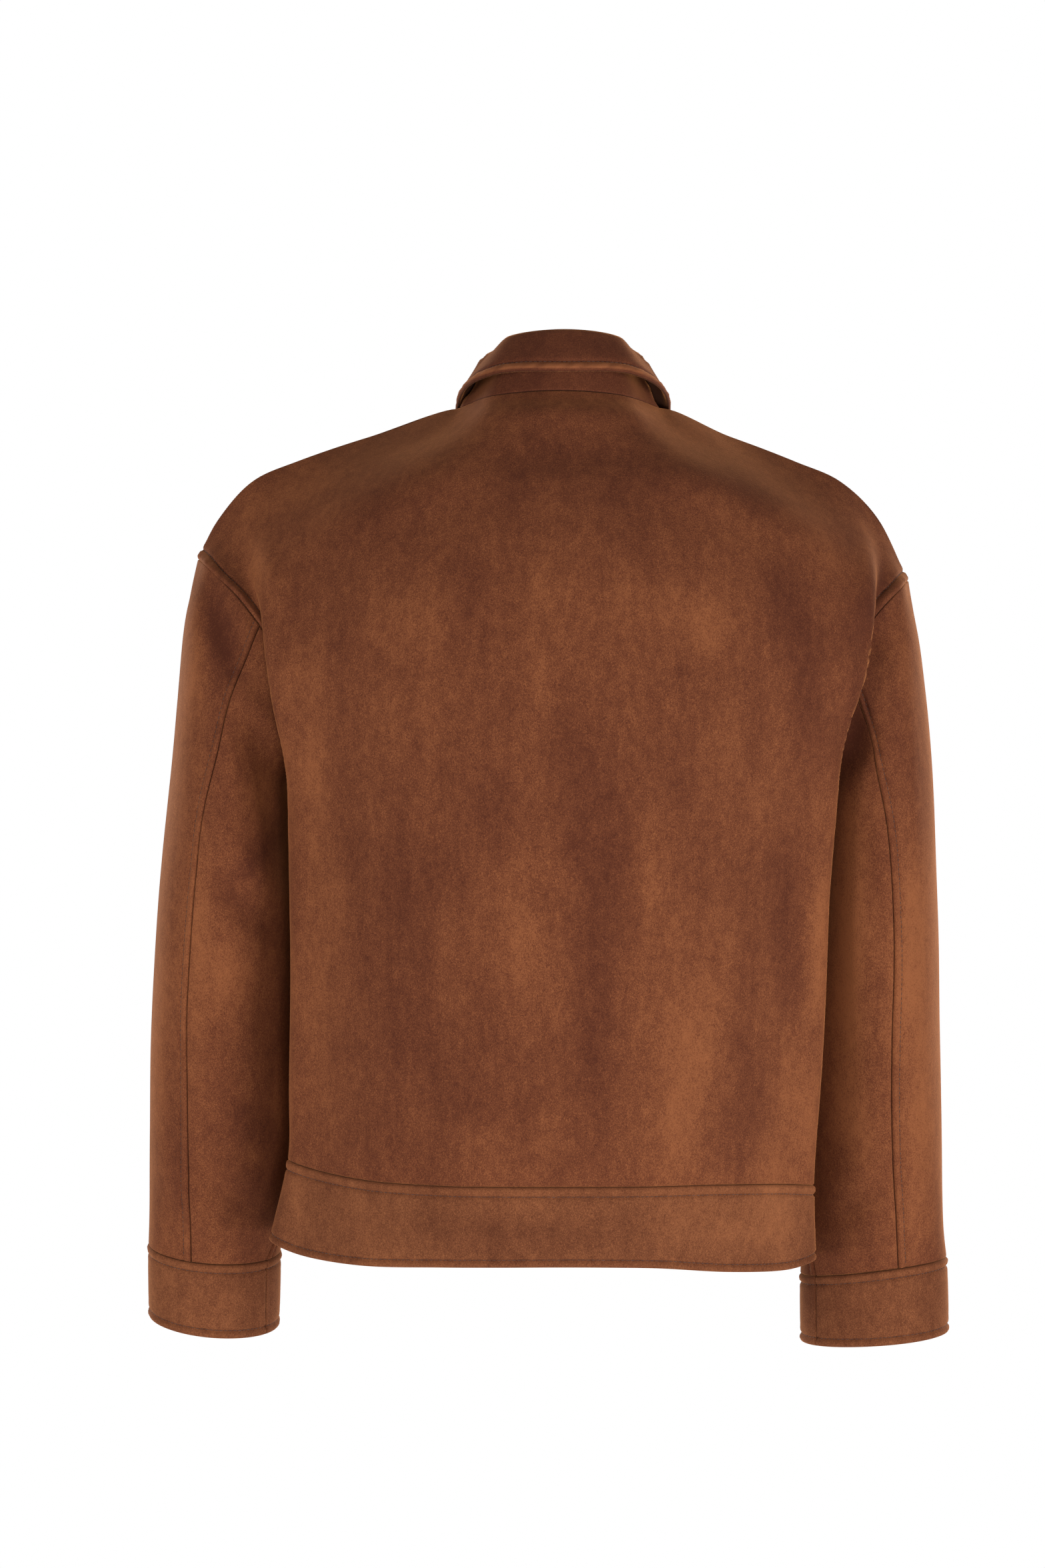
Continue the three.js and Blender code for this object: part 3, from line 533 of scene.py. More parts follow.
def by_length(place, stitches, spacing=SPACING):
    """Parameters of a grid whose lines lie at known distances from the edges.

    First each line across is divided by its own length, then each line down. Returns the parameters
    s and v of every place, and its distances from the edges s = 0, s = 1, v = 0 and v = 1.
    """
    even = np.linspace(0, 1, DENSE)
    s, v = np.meshgrid(even, even, indexing="ij")
    run = run_along(place(s, v), 0)
    wanted = line_distances(run[-1], stitches[:2], spacing)
    s = np.stack([np.interp(wanted[:, j], run[:, j], even) for j in range(DENSE)], axis=1)
    run_down = run_along(place(s, np.broadcast_to(even, s.shape)), 1)
    wanted_down = line_distances(run_down[:, -1], stitches[2:], spacing).T
    v = np.stack([np.interp(wanted_down[i], run_down[i], even) for i in range(len(s))])
    from_first = np.stack([np.interp(v[i], even, wanted[i]) for i in range(len(s))])
    to_last = np.stack([np.interp(v[i], even, run[-1] - wanted[i]) for i in range(len(s))])
    s = np.stack([np.interp(v[i], even, s[i]) for i in range(len(s))])
    return s, v, (from_first, to_last, wanted_down, run_down[:, -1:] - wanted_down)


def grid_normals(places, outward):
    """Directions square to a grid of places, from its two slopes."""
    along = np.gradient(places, axis=0)
    below = np.gradient(places, axis=1)
    normal = np.cross(along, below) * outward
    return normal / np.maximum(np.linalg.norm(normal, axis=-1, keepdims=True), 1e-9)


# %% [markdown]
# What makes cloth look sewn is its section at a seam. The edge rolls in by about a millimetre. Beside
# it lies the folded seam allowance, which puffs the cloth up, and then the line of stitches pulls it
# down again. The same few numbers serve every seam, with the widths that the photograph shows.
# Thread pulls unevenly, so welts and grooves swell and sink a little along their length.

# %% The section of a seam
ROLL = 1.2                      # radius of the rolled edge at a seam
GROOVE = 0.95                   # depth to which the thread pulls the cloth
GROOVE_WIDTH = 0.95
PUCKER = 17.0                   # length of one soft pucker along a seam
PUCKER_SHARE = 0.35             # how much of the welt and the groove a pucker adds or takes
RIDGE_AWAY, RIDGE_WIDTH, RIDGE_HEIGHT = 3.2, 2.6, 0.3   # the soft ridge beyond the stitches


def waves(run, length, phase):
    """An uneven ripple between about -1 and 1: three sines whose lengths don't divide each other."""
    return (np.sin(2 * np.pi * run / length + phase) + np.sin(2 * np.pi * run / (0.61 * length) + 2 * phase)
            + 0.7 * np.sin(2 * np.pi * run / (1.9 * length) - phase)) / 2.7


def seam_relief(distance, run, welt, stitch, pull, weight, phase):
    """Height of the cloth beside one edge: the roll, the puffed allowance and the pulled stitches."""
    inside = np.clip(1 - distance / ROLL, 0, 1)
    height = -ROLL * (1 - np.sqrt(1 - inside**2))
    if stitch:
        uneven = 1 + PUCKER_SHARE * waves(run, PUCKER, phase)
        puff = smooth(distance, 0, 2.4) * (1 - smooth(distance, stitch - 3.0, stitch + 0.2))
        groove = pull * GROOVE * np.exp(-((distance - stitch) / GROOVE_WIDTH) ** 2)
        beyond = np.exp(-((distance - stitch - RIDGE_AWAY) / RIDGE_WIDTH) ** 2)
        height = height + weight * uneven * (welt * puff - groove + RIDGE_HEIGHT * beyond)
    return height


# %% [markdown]
# Three more things bend the cloth. Creases: soft troughs beside the armpits, at the elbows and above
# the cuffs, given by where they lie as one looks at the jacket from behind or from the front, in
# millimetres. Unevenness: no large sheet of cloth is ever quite smooth, so a sum of long faint waves in
# space moves it by less than a millimetre. Both read the place in space, so they run on across seams.

# %% Creases and unevenness
CREASES = {
    "back": table(
        LINE,
        (-250, -128, -228, -205, 11, -4.6),
        (-236, -132, -214, -176, 8, 2.2),
        (-226, -226, -194, -318, 13, -5.0),
        (-228, -205, -200, -232, 8, 2.4),
        (-240, -305, -196, -362, 10, 2.8),
        (-249, -334, -203, -386, 12, -3.4),
        (-214, -400, -210, -470, 15, -2.8),
        (-268, -420, -240, -505, 15, 1.8),
        (-262, -560, -214, -585, 12, -3.0),
        (-288, -540, -262, -585, 12, 1.8),
        (232, -158, 226, -186, 12, -4.6),
        (212, -215, 224, -262, 13, -5.0),
        (250, -175, 262, -330, 9, 1.6),
        (222, -300, 236, -400, 12, -2.4),
        (262, -380, 250, -480, 14, 1.8),
        (250, -560, 205, -592, 12, -3.0),
        (275, -520, 262, -585, 12, 1.8),
        (-214, -92, -196, -142, 9, 3.0),
        (230, -98, 224, -150, 8, 2.2),
        (-150, -60, 140, -72, 26, -1.5),
        (-66, -7, 84, -7, 9, 3.2),
        (-90, -38, 104, -36, 15, -2.6),
        (-92, -160, -128, -480, 34, 1.6),
        (-28, -230, 6, -520, 30, -1.8),
        (96, -150, 110, -470, 32, 1.6),
        (142, -180, 168, -420, 20, -1.8),
        (-168, -300, -158, -540, 18, 1.4),
    ),
    "front": table(
        LINE,
        (-236, -150, -206, -196, 12, -3.2),
        (-250, -330, -200, -372, 12, -4.2),
        (-262, -372, -206, -404, 9, 2.6),
        (-256, -430, -208, -446, 11, -3.4),
        (-262, -560, -214, -585, 12, -3.0),
        (240, -160, 212, -204, 12, -3.2),
        (250, -322, 202, -366, 12, -4.2),
        (258, -368, 206, -398, 9, 2.6),
        (252, -424, 204, -446, 11, -3.4),
        (250, -566, 205, -596, 12, -3.0),
        (-150, -110, -70, -180, 20, 2.0),
        (150, -112, 74, -184, 20, 2.0),
        (-120, -260, -96, -520, 26, -2.0),
        (118, -250, 104, -516, 26, -2.0),
        (-60, -300, -44, -500, 24, 1.6),
        (56, -280, 52, -500, 24, 1.6),
    ),
}
UNEVEN_SEED, UNEVEN_WAVES = 11, 14
UNEVEN_HEIGHT = 0.16            # height of each wave in millimetres
SHORTEST, LONGEST = 60, 170     # millimetres from crest to crest
chance = np.random.default_rng(UNEVEN_SEED)
uneven_ways = chance.normal(size=(UNEVEN_WAVES, 3)) * (1, 1, 0.45)
uneven_lengths = chance.uniform(SHORTEST, LONGEST, UNEVEN_WAVES) * np.linalg.norm(uneven_ways, axis=1)
uneven_ways *= (2 * np.pi / uneven_lengths)[:, None]
uneven_starts = chance.uniform(0, 2 * np.pi, UNEVEN_WAVES)


def unevenness(places):
    """Faint waves in space: a sum of sines of several lengths, in any direction."""
    return np.sin(places @ uneven_ways.T + uneven_starts).sum(-1) * UNEVEN_HEIGHT


def drawn(lines, places, normals):
    """Sum of listed lines: each counts where the cloth faces the side that it was placed from."""
    total = 0.0
    for side, facing in (("back", -1), ("front", 1)):
        seen = smooth(normals[..., 1] * facing, 0.05, 0.55)
        total = total + crease_depth(lines[side], places[..., 0], places[..., 2]) * seen
    return total


# %% [markdown]
# Nap lies as it was last brushed, by a hand or a sleeve, so some patches look paler and some darker
# although the form is the same. Many patches here are painted light instead: painted highlights at the
# shoulders, on the back's ridges and on the sleeves' outer sides, and painted shade in the hollows beside
# the sleeves and below the collar. The large ones are placed as the creases are, with a positive depth
# for paler cloth, and are kept as an attribute for the finish to read.

# %% Brushed patches of nap, with painted highlights and painted shade
# Positive depth paints paler, negative darker: nap patches, and painted highlights and painted shade on the
# form.
NAP_AND_PAINTED_LIGHT_PATCHES = {
    "back": table(
        LINE,
        (-105, -270, -108, -540, 22, -1.0),
        (-170, -190, -173, -560, 13, 0.9),
        (-112, -132, -82, -180, 27, 0.9),
        (60, -138, 128, -168, 24, 1.0),
        (172, -105, 166, -180, 15, -1.2),
        (30, -240, 33, -530, 19, -0.9),
        (-22, -330, -20, -440, 17, 0.6),
        (100, -390, 92, -565, 26, 1.0),
        (164, -285, 166, -425, 13, -0.9),
        (174, -455, 180, -570, 14, 1.1),
        (-42, -7, 72, -7, 10, -0.3),
        (-66, -44, 84, -42, 16, -0.8),
        (-224, -84, -206, -142, 10, 1.3),
        (230, -90, 225, -132, 9, 1.2),
        (-256, -250, -262, -480, 15, 0.8),
        (-272, -125, -291, -330, 15, 1.5),
        (-287, -330, -292, -560, 9, 1.2),
        (262, -300, 266, -580, 16, 1.6),
        (-251, -134, -231, -200, 10, -1.9),
        (-257, -148, -264, -225, 7, 1.2),
        (-206, -255, -214, -300, 11, 1.3),
        (-196, -306, -230, -345, 8, -1.6),
        (-249, -336, -205, -384, 9, -1.0),
        (-198, -470, -198, -540, 9, 1.2),
        (-240, -380, -243, -450, 11, 0.7),
        (-236, -500, -212, -530, 9, -0.8),
        (-235, -540, -206, -552, 9, 0.8),
        (236, -105, 220, -186, 15, -1.9),
        (224, -196, 214, -270, 10, -1.8),
        (190, -135, 182, -285, 14, -1.1),
        (252, -160, 260, -240, 9, 0.9),
        (212, -285, 212, -560, 13, 1.9),
        (222, -495, 233, -550, 12, 0.8),
        (192, -330, 190, -440, 7, 1.3),
        (-184, -540, -186, -600, 9, 1.4),
        (110, -590, 168, -598, 12, 0.7),
        (-115, -588, 65, -590, 15, -0.8),
        (150, -540, 166, -606, 18, 1.0),
        (-215, -70, -150, -44, 12, 1.0),
        (85, -27, 172, -76, 17, -1.5),
        (12, 47, 62, 37, 7, -1.1),
        (-235, -628, -240, -650, 22, -0.8),
        (188, -625, 188, -665, 11, -1.2),
    ),
    "front": table(
        LINE,
        (-120, -160, -70, -220, 28, 0.9),
        (124, -170, 80, -230, 28, 0.9),
        (-170, -300, -172, -540, 14, 0.8),
        (168, -300, 170, -540, 14, 0.8),
        (-105, -300, -108, -520, 22, -0.8),
        (98, -300, 100, -520, 22, -0.8),
        (-258, -260, -264, -500, 16, 0.7),
        (262, -260, 268, -500, 16, 0.7),
    ),
}


# %% [markdown]
# One function turns a surface into a piece of cloth: it lays the surface out, drapes it, gives it
# its seams, and closes it into a wall two millimetres thick with an inner face and an edge all round.
# Solidify could make the wall, but worked out here, the inner face keeps clear of the next piece.
# The height beside each seam is also kept as an attribute, so that the finish paints a pale highlight
# where the cloth stands proud and paints shade down in a seam.

# %% Walls of cloth
INNER_BACK = 0.15               # how far the inner face ends short of a seam
SEAM_HALF = 0.15                # half of the space between two sewn pieces
RIM = 0.55                      # rounding of a free edge on its inner side
NEAR = 3.2                      # how far from an edge these three fade out
CALM = 15.0                     # how far from a fold the drape sets in
SWELL_START, SWELL_END = 4, 18  # distances from the edges over which a doubled band swells


def mesh_object(name, vertices, faces, uv=None, attributes=None):
    """A smooth mesh object from arrays: vertices in millimetres, and faces with equal corner counts."""
    mesh = bpy.data.meshes.new(name)
    corners = faces.shape[1]
    mesh.vertices.add(len(vertices))
    mesh.vertices.foreach_set("co", (vertices * MM).astype(np.float32).ravel())
    mesh.loops.add(faces.size)
    mesh.loops.foreach_set("vertex_index", faces.astype(np.int32).ravel())
    mesh.polygons.add(len(faces))
    mesh.polygons.foreach_set("loop_start", np.arange(0, faces.size, corners, dtype=np.int32))
    mesh.polygons.foreach_set("use_smooth", np.ones(len(faces), bool))
    if uv is not None:
        layer = mesh.uv_layers.new(name="cloth")
        layer.data.foreach_set("uv", (uv[faces.ravel()] * MM).astype(np.float32).ravel())
    for key, values in (attributes or {}).items():
        mesh.attributes.new(key, "FLOAT", "POINT").data.foreach_set("value", values.astype(np.float32))
    mesh.update(calc_edges=True)
    mesh.validate()
    made = bpy.data.objects.new(name, mesh)
    bpy.context.scene.collection.objects.link(made)
    return made


def close_poles(made):
    """Merges the corners that fall on one spot, such as the pole of a turned shape, into one."""
    work = bmesh.new()
    work.from_mesh(made.data)
    bmesh.ops.remove_doubles(work, verts=work.verts, dist=1e-7)
    work.to_mesh(made.data)
    work.free()
    return made


def wall_faces(rows, columns, outward):
    """Quads of a closed wall: the outer grid, the inner grid behind it, and the four edges."""
    at = np.arange(rows * columns).reshape(rows, columns)
    outer = np.stack([at[:-1, :-1], at[1:, :-1], at[1:, 1:], at[:-1, 1:]], axis=-1).reshape(-1, 4)
    inner = outer[:, ::-1] + rows * columns
    rim = np.concatenate([at[:, 0], at[-1, 1:], at[-2::-1, -1], at[0, -2:0:-1]])
    beside = np.roll(rim, -1)
    edge = np.stack([beside, rim, rim + rows * columns, beside + rows * columns], axis=-1)
    faces = np.concatenate([outer, inner, edge])
    return faces if outward > 0 else faces[:, ::-1]


class Piece:
    """A piece of cloth: its outer grid, directions, stitches and size, and the Blender object."""


cloth = {}


def seam_shape(edge, distance, run, s, v, phase):
    """Relief of the cloth beside one edge, as the edge's dict says. A fold has none."""
    if "fold" in edge:
        return 0.0
    weight = edge["where"](s, v) if "where" in edge else 1.0
    welt, pull = edge.get("welt", 0), edge.get("pull", 1)
    return seam_relief(distance, run, welt, edge.get("stitch"), pull, weight, phase)


def moved_at_edges(base, normals, outer, inner, edges, distances):
    """The outer and the inner face, drawn back from sewn edges, rounded at free ones, on past folds."""
    for edge, distance, axis, way in zip(edges, distances, (0, 0, 1, 1), (1, -1, 1, -1)):
        inside = np.gradient(base, axis=axis) * way
        inside /= np.maximum(np.linalg.norm(inside, axis=-1, keepdims=True), 1e-9)
        near = np.clip(1 - distance / NEAR, 0, 1)[..., None]
        if edge.get("free"):
            inner = inner + normals * RIM * near**3
        elif "fold" in edge:
            outer, inner = outer - inside * edge["fold"] * near, inner - inside * edge["fold"] * near
        else:
            inner = inner + inside * (INNER_BACK - edge.get("tuck", 0)) * near
            outer = outer + inside * SEAM_HALF * near**2
    return outer, inner


def cut(name, place, outward, edges, spacing=SPACING, swell=0.0):
    """Makes one piece of cloth, in place of the solid of that name.

    place gives the surface for s across and v down, both from 0 to 1. edges holds the four edges, in
    the order s = 0, s = 1, v = 0, v = 1, as dicts: free for one that is sewn to nothing, welt for the
    puffed allowance, stitch for the distance of the stitches, pull for how hard they pull, where for
    the part of it that has them, tuck for an inner face that runs on past the seam, and fold for an edge
    that lies on a fold: it keeps to its line and runs on past it by so much. swell puffs the whole piece
    up between its edges, as a doubled band does.
    """
    piece = Piece()
    stitches = [edge.get("stitch") for edge in edges]
    s, v, distances = by_length(place, stitches, spacing)
    base = place(s, v)
    normals = grid_normals(base, outward)
    drape = unevenness(base) + drawn(CREASES, base, normals)
    for edge, distance in zip(edges, distances):
        drape = drape * (smooth(distance, 0, CALM) if "fold" in edge else 1)
    base = base + normals * drape[..., None]
    normals = grid_normals(base, outward)
    down_run, across_run = run_along(base, 1), run_along(base, 0)
    relief = np.zeros(s.shape)
    for i, (edge, distance) in enumerate(zip(edges, distances)):
        run = down_run if i < 2 else across_run
        relief += seam_shape(edge, distance, run, s, v, len(cloth) + 1.7 * i)
    swelling = swell * smooth(np.minimum.reduce(distances), SWELL_START, SWELL_END)
    relief = np.maximum(relief, -ROLL - 0.4) + swelling
    outer, inner = base + normals * relief[..., None], base - normals * CLOTH
    outer, inner = moved_at_edges(base, normals, outer, inner, edges, distances)
    flat = np.stack([across_run, down_run], axis=-1).reshape(-1, 2)
    vertices = np.concatenate([outer.reshape(-1, 3), inner.reshape(-1, 3)])
    nothing = np.zeros(relief.size)
    notes = {
        "height": np.concatenate([relief.ravel(), nothing]),
        "nap_side": np.concatenate([nothing + 1, nothing]),
        # patches of nap mixed with painted highlights and painted shade
        "nap_and_painted_light": np.concatenate([drawn(NAP_AND_PAINTED_LIGHT_PATCHES, base, normals).ravel(), nothing]),
    }
    faces = wall_faces(*s.shape, outward)
    piece.object = mesh_object(f"cloth_{name}", vertices, faces, np.concatenate([flat, flat]), notes)
    piece.outer, piece.normals = outer, grid_normals(outer, outward)
    piece.stitches, piece.edges = stitches, edges
    piece.s, piece.v = s, v
    squares = np.cross(np.diff(base, axis=0)[:, :-1], np.diff(base, axis=1)[:-1])
    area = np.linalg.norm(squares, axis=-1).sum()
    piece.width, piece.length = float(across_run[-1].max()), float(down_run[:, -1].max())
    piece.area = min(float(area), piece.width * piece.length)
    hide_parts(name)
    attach(piece.object, "root")
    cloth[name] = piece


# %% [markdown]
# The back and the two fronts come first. The armhole seams carry a welt on the body's side, 8 mm wide,
# held by one line of stitches; the shoulder, side and neck seams are plain. The centre front edges are
# folded and stitched. The back has no yoke and no pleat, as the photograph shows.

# %% Back, fronts and waistband
ARMHOLE_WELT, ARMHOLE_STITCH = 1.3, 8.0
FRONT_STITCH = 7.0
WAIST_WELT, WAIST_STITCH = 1.0, 7.0
HEM_WELT, HEM_STITCH = 0.7, 5.5
TUCK, WAIST_TUCK, NECK_TUCK = 0.8, 1.0, 1.2  # how far an inner face runs on past its seam
BAND_PUFF = 0.5                 # swell of the doubled waistband at the back
LAP_PUFF = 0.4                  # and of the front that laps over
PLAIN = {}


def on_armhole(start_row, rows):
    """Weight of the armhole's welt down an edge that starts at a row: none below the underarm."""
    return lambda s, v: 1 - smooth(start_row + v * rows, UNDERARM_ROW - 0.25, UNDERARM_ROW)


def lap_column(down):
    """The lap in key columns of the front."""
    return LAP / first_column_width(down)


def back_at(first_row, rows):
    """The back between two rows, as a function of s and v."""
    return lambda s, v: body_place("back", EDGE_COLUMN * (2 * s - 1), first_row + v * rows)


def front_at(side, first_row, rows):
    """One front between two rows, from the side seam to the lap on the left, the other way on the right."""

    def place(s, v):
        down = first_row + v * rows
        share = s if side == "left" else 1 - s
        across = EDGE_COLUMN - (EDGE_COLUMN + lap_column(down)) * share
        return body_place("front", SIGN[side] * across, down, lifted=side == "left")

    return place


armhole_edge = dict(welt=ARMHOLE_WELT, stitch=ARMHOLE_STITCH, where=on_armhole(0, WAIST_ROW), tuck=TUCK)
waist_edge = dict(welt=WAIST_WELT, stitch=WAIST_STITCH, tuck=WAIST_TUCK)
hem_edge = dict(welt=HEM_WELT, stitch=HEM_STITCH, free=True)
centre_edge = dict(welt=HEM_WELT, stitch=FRONT_STITCH, free=True)

cut("back", back_at(0, WAIST_ROW), -1, [armhole_edge, armhole_edge, PLAIN, PLAIN])
cut("waistband_back", back_at(WAIST_ROW, 1), -1, [PLAIN, PLAIN, waist_edge, hem_edge], swell=BAND_PUFF)
for side in ("left", "right"):
    body_edges = [armhole_edge, centre_edge, PLAIN, PLAIN]
    band_edges = [PLAIN, centre_edge, waist_edge, hem_edge]
    if side == "right":
        body_edges[:2] = body_edges[1::-1]
        band_edges[:2] = band_edges[1::-1]
    cut(f"front_{side}", front_at(side, 0, WAIST_ROW), 1, body_edges)
    swell = LAP_PUFF if side == "left" else 0.0
    cut(f"waistband_front_{side}", front_at(side, WAIST_ROW, 1), 1, band_edges, swell=swell)
print({name: len(piece.object.data.polygons) for name, piece in cloth.items()})

# %% [markdown]
# Each sleeve is an upper and an under piece, sewn down the back of the arm and along the underarm. The
# allowance of both seams is folded towards the upper piece and stitched 6 mm from the seam. The cuff
# is a doubled band, closed by one seam that carries on the underarm seam.

# %% Sleeves and cuffs
SLEEVE_WELT, SLEEVE_STITCH = 0.8, 6.0
SLEEVE_PULL = 0.6               # the thread sinks less there than elsewhere
CUFF_STITCH, CUFF_HEM_STITCH = 6.5, 6.0
CUFF_PUFF = 0.6
sleeve_edge = dict(welt=SLEEVE_WELT, stitch=SLEEVE_STITCH, pull=SLEEVE_PULL, tuck=TUCK)
cuff_top = dict(welt=WAIST_WELT, stitch=CUFF_STITCH, tuck=TUCK)
cuff_hem = dict(welt=SLEEVE_WELT, stitch=CUFF_HEM_STITCH, free=True)


def sleeve_strip(side, first, last):
    """A sleeve between two columns, as a function of s and v."""
    return lambda s, v: sleeve_place(side, first + (last - first) * s, SLEEVE_ROWS * v)


def cuff_strip(side):
    """A cuff once round from its seam."""
    return lambda s, v: cuff_place(side, UNDERARM_COLUMN + COLUMNS * s, v)


for side in ("left", "right"):
    outward, seam = SIGN[side], BACK_SEAM[side]
    under = sleeve_strip(side, seam, UNDERARM_COLUMN)
    upper = sleeve_strip(side, UNDERARM_COLUMN, COLUMNS + seam)
    cut(f"sleeve_{side}_under", under, outward, [PLAIN] * 4)
    cut(f"sleeve_{side}_upper", upper, outward, [sleeve_edge, sleeve_edge, PLAIN, PLAIN])
    cut(f"cuff_{side}", cuff_strip(side), outward, [PLAIN, PLAIN, cuff_top, cuff_hem], swell=CUFF_PUFF)
print("pieces of cloth so far:", len(cloth))

# %% [markdown]
# The stand meets the neck seam below and the fall above. The fall is doubled and stitched round its
# free edge, and the turned edge puffs up into a rounded band that catches the light.

# %% Collar
COLLAR_STITCH = 7.5
COLLAR_WELT, COLLAR_END_WELT = 1.5, 0.9
COLLAR_SPACING = 3.0
FOLD_REACH = 1.7                # how far the fall runs on over the top of the stand, in the fold
collar_edge = dict(welt=COLLAR_WELT, stitch=COLLAR_STITCH, free=True)
collar_end = dict(welt=COLLAR_END_WELT, stitch=COLLAR_STITCH, free=True)
stand_end = dict(free=True)
STAND_END = 180 + float(RIGHT_ANGLE / NECK_COLUMN * lap_column(np.zeros(1))[0])


def stand_at(s, v):
    """The stand from its left end to its right end, and from the neck seam up."""
    return stand_place(STAND_END * (2 * s - 1), v)


def fall_at(s, v):
    """The fall from its left end to its right end, and from the stand's top down to its edge."""
    return fall_place(FALL_END * (2 * s - 1), 4 * v)


stand_edges = [stand_end, stand_end, dict(tuck=NECK_TUCK), dict(fold=0.0)]
fall_edges = [collar_end, collar_end, dict(fold=FOLD_REACH), collar_edge]
cut("collar_stand", stand_at, 1, stand_edges, spacing=COLLAR_SPACING)
cut("collar_fall", fall_at, -1, fall_edges, spacing=COLLAR_SPACING)
print("quads of all cloth:", sum(len(piece.object.data.polygons) for piece in cloth.values()))

# %% [markdown]
# The thread is the same brown, a little darker. Each stitch is a short rounded bar that dips into the
# cloth at both ends. Painted dashes would slide off the groove in a close view, so every stitch is
# real: one bar of 25 faces is worked out once, then turned and placed along the line with whole arrays,
# and all stitches of one piece are one mesh.

# %% Stitches
STITCH_STEP, STITCH_LENGTH, THREAD = 3.5, 2.7, 0.5
BAR_RINGS, BAR_SIDES = 6, 5


def bars(centres, ways, ups, length, radius, sink=0.0):
    """Rounded bars as vertices and faces: a ring of corners carried along, thin at both ends.

    The radius is the root of 1 less the fourth power of the way from the middle to an end. The middle
    stands above the ends by sink. ways and ups hold a direction for each bar, or one for all of them.
    """
    ways, ups = np.broadcast_to(ways, centres.shape), np.broadcast_to(ups, centres.shape)
    along = np.linspace(-1, 1, BAR_RINGS)
    round_ends = np.maximum(1 - np.abs(along) ** 4, 0.0) ** 0.5
    turn = 2 * np.pi * np.arange(BAR_SIDES) / BAR_SIDES
    sides = np.cross(ways, ups)
    ring = np.cos(turn)[:, None] * sides[:, None, None] + np.sin(turn)[:, None] * ups[:, None, None]
    line = along[:, None] * ways[:, None] * length / 2 - (along[:, None] ** 2) * ups[:, None] * sink
    vertices = centres[:, None, None] + line[:, :, None] + ring * (round_ends * radius)[:, None, None]
    at = np.arange(BAR_RINGS * BAR_SIDES).reshape(BAR_RINGS, BAR_SIDES)
    beside = np.roll(at, -1, axis=1)
    quads = np.stack([at[:-1], at[1:], beside[1:], beside[:-1]], axis=-1).reshape(-1, 4)
    starts = np.arange(len(centres))[:, None, None] * BAR_RINGS * BAR_SIDES
    return vertices.reshape(-1, 3), (quads[None] + starts).reshape(-1, 4)


def stitch_line(piece, index):
    """Places, directions and normals every few millimetres along one line of stitches of a piece."""
    stitch = piece.stitches[index]
    lines = edge_lines(stitch)
    step = int(np.argmin(np.abs(lines - stitch)))
    line = step if index in (0, 2) else -1 - step
    pick = (line, slice(None)) if index < 2 else (slice(None), line)
    places, normals, edge = piece.outer[pick], piece.normals[pick], piece.edges[index]
    run = np.concatenate([[0], np.cumsum(np.linalg.norm(np.diff(places, axis=0), axis=-1))])
    middles = np.arange(STITCH_STEP, run[-1] - STITCH_STEP, STITCH_STEP)
    if "where" in edge:
        middles = middles[np.interp(middles, run, edge["where"](piece.s, piece.v)[pick]) > 0.5]

    def read(values, at):
        return np.stack([np.interp(at, run, values[:, i]) for i in range(3)], axis=-1)

    ways = read(places, middles + 1) - read(places, middles - 1)
    ways /= np.linalg.norm(ways, axis=-1, keepdims=True)
    ups = read(normals, middles)
    ups -= (ups * ways).sum(-1, keepdims=True) * ways
    ups /= np.linalg.norm(ups, axis=-1, keepdims=True)
    return read(places, middles) + ups * THREAD * 0.25, ways, ups


threads = {}
for name, piece in cloth.items():
    found = [stitch_line(piece, i) for i in range(4) if piece.stitches[i]]
    if found:
        centres, ways, ups = (np.concatenate(parts) for parts in zip(*found))
        vertices, faces = bars(centres, ways, ups, STITCH_LENGTH, THREAD / 2, sink=0.2)
        threads[name] = close_poles(mesh_object("stitches_" + name, vertices, faces))
        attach(threads[name], "root")
print("stitches:", sum(len(t.data.polygons) for t in threads.values()) // (BAR_SIDES * (BAR_RINGS - 1)))

# %% [markdown]
# The front isn't seen in the photograph, so it has only what a jacket of this kind must have: plain
# sewn buttons with four holes, down the lap. A button is turned, so it is a profile carried round an
# axis, but the four holes break the round: they are pits in the height of a fine polar grid.
# Each lies on its solid's place, worked out from the same net as the front.

# %% Buttons and buttonholes
BUTTON_RADIUS, BUTTON_THICKNESS, BUTTON_SPACE = 8.5, 3.2, 0.5
BUTTON_ROWS = np.array([0.75, 2.6, 4.55, 6.25, 7.6, 8.95, 10.55])
SEAM_RIB, BAND_SWELL = 1.6, 0.35
HOLE_RADIUS, HOLE_OFFSET = 0.95, 1.75
BUTTONHOLE = 20.0
BUTTON_THREAD, HOLE_THREAD = 0.32, 0.4
HOLE_SIDE = 0.9                 # from the middle of a buttonhole to its rows of stitches


def button_places(count_round=72):
    """Polar grid of a button: distance and height follow the turned profile, with four round pits."""
    half, rim = BUTTON_THICKNESS / 2, BUTTON_RADIUS
    dish = np.linspace(0, rim - 3.6, 26)
    profile = np.array([
        (rim - 3.0, half - 0.75), (rim - 2.4, half - 0.25), (rim - 1.7, half), (rim - 1.0, half - 0.05),
        (rim - 0.4, half - 0.35), (rim - 0.08, half - 0.9), (rim, 0), (rim - 0.1, -half + 0.8),
        (rim - 0.5, -half + 0.25), (rim - 1.2, -half), (rim / 2, -half), (0.0, -half),
    ])
    distance = np.concatenate([dish, profile[:, 0]])
    height = np.concatenate([np.full(len(dish), half - 1.0), profile[:, 1]])
    turn = 2 * np.pi * np.arange(count_round) / count_round
    x, y = distance[:, None] * np.cos(turn), distance[:, None] * np.sin(turn)
    from_hole = np.hypot(np.abs(x) - HOLE_OFFSET, np.abs(y) - HOLE_OFFSET)
    pit = (1 - smooth(from_hole, HOLE_RADIUS - 0.3, HOLE_RADIUS + 0.15)) * (height > 0)[:, None]
    return point(x, y, height[:, None] - 1.5 * pit)


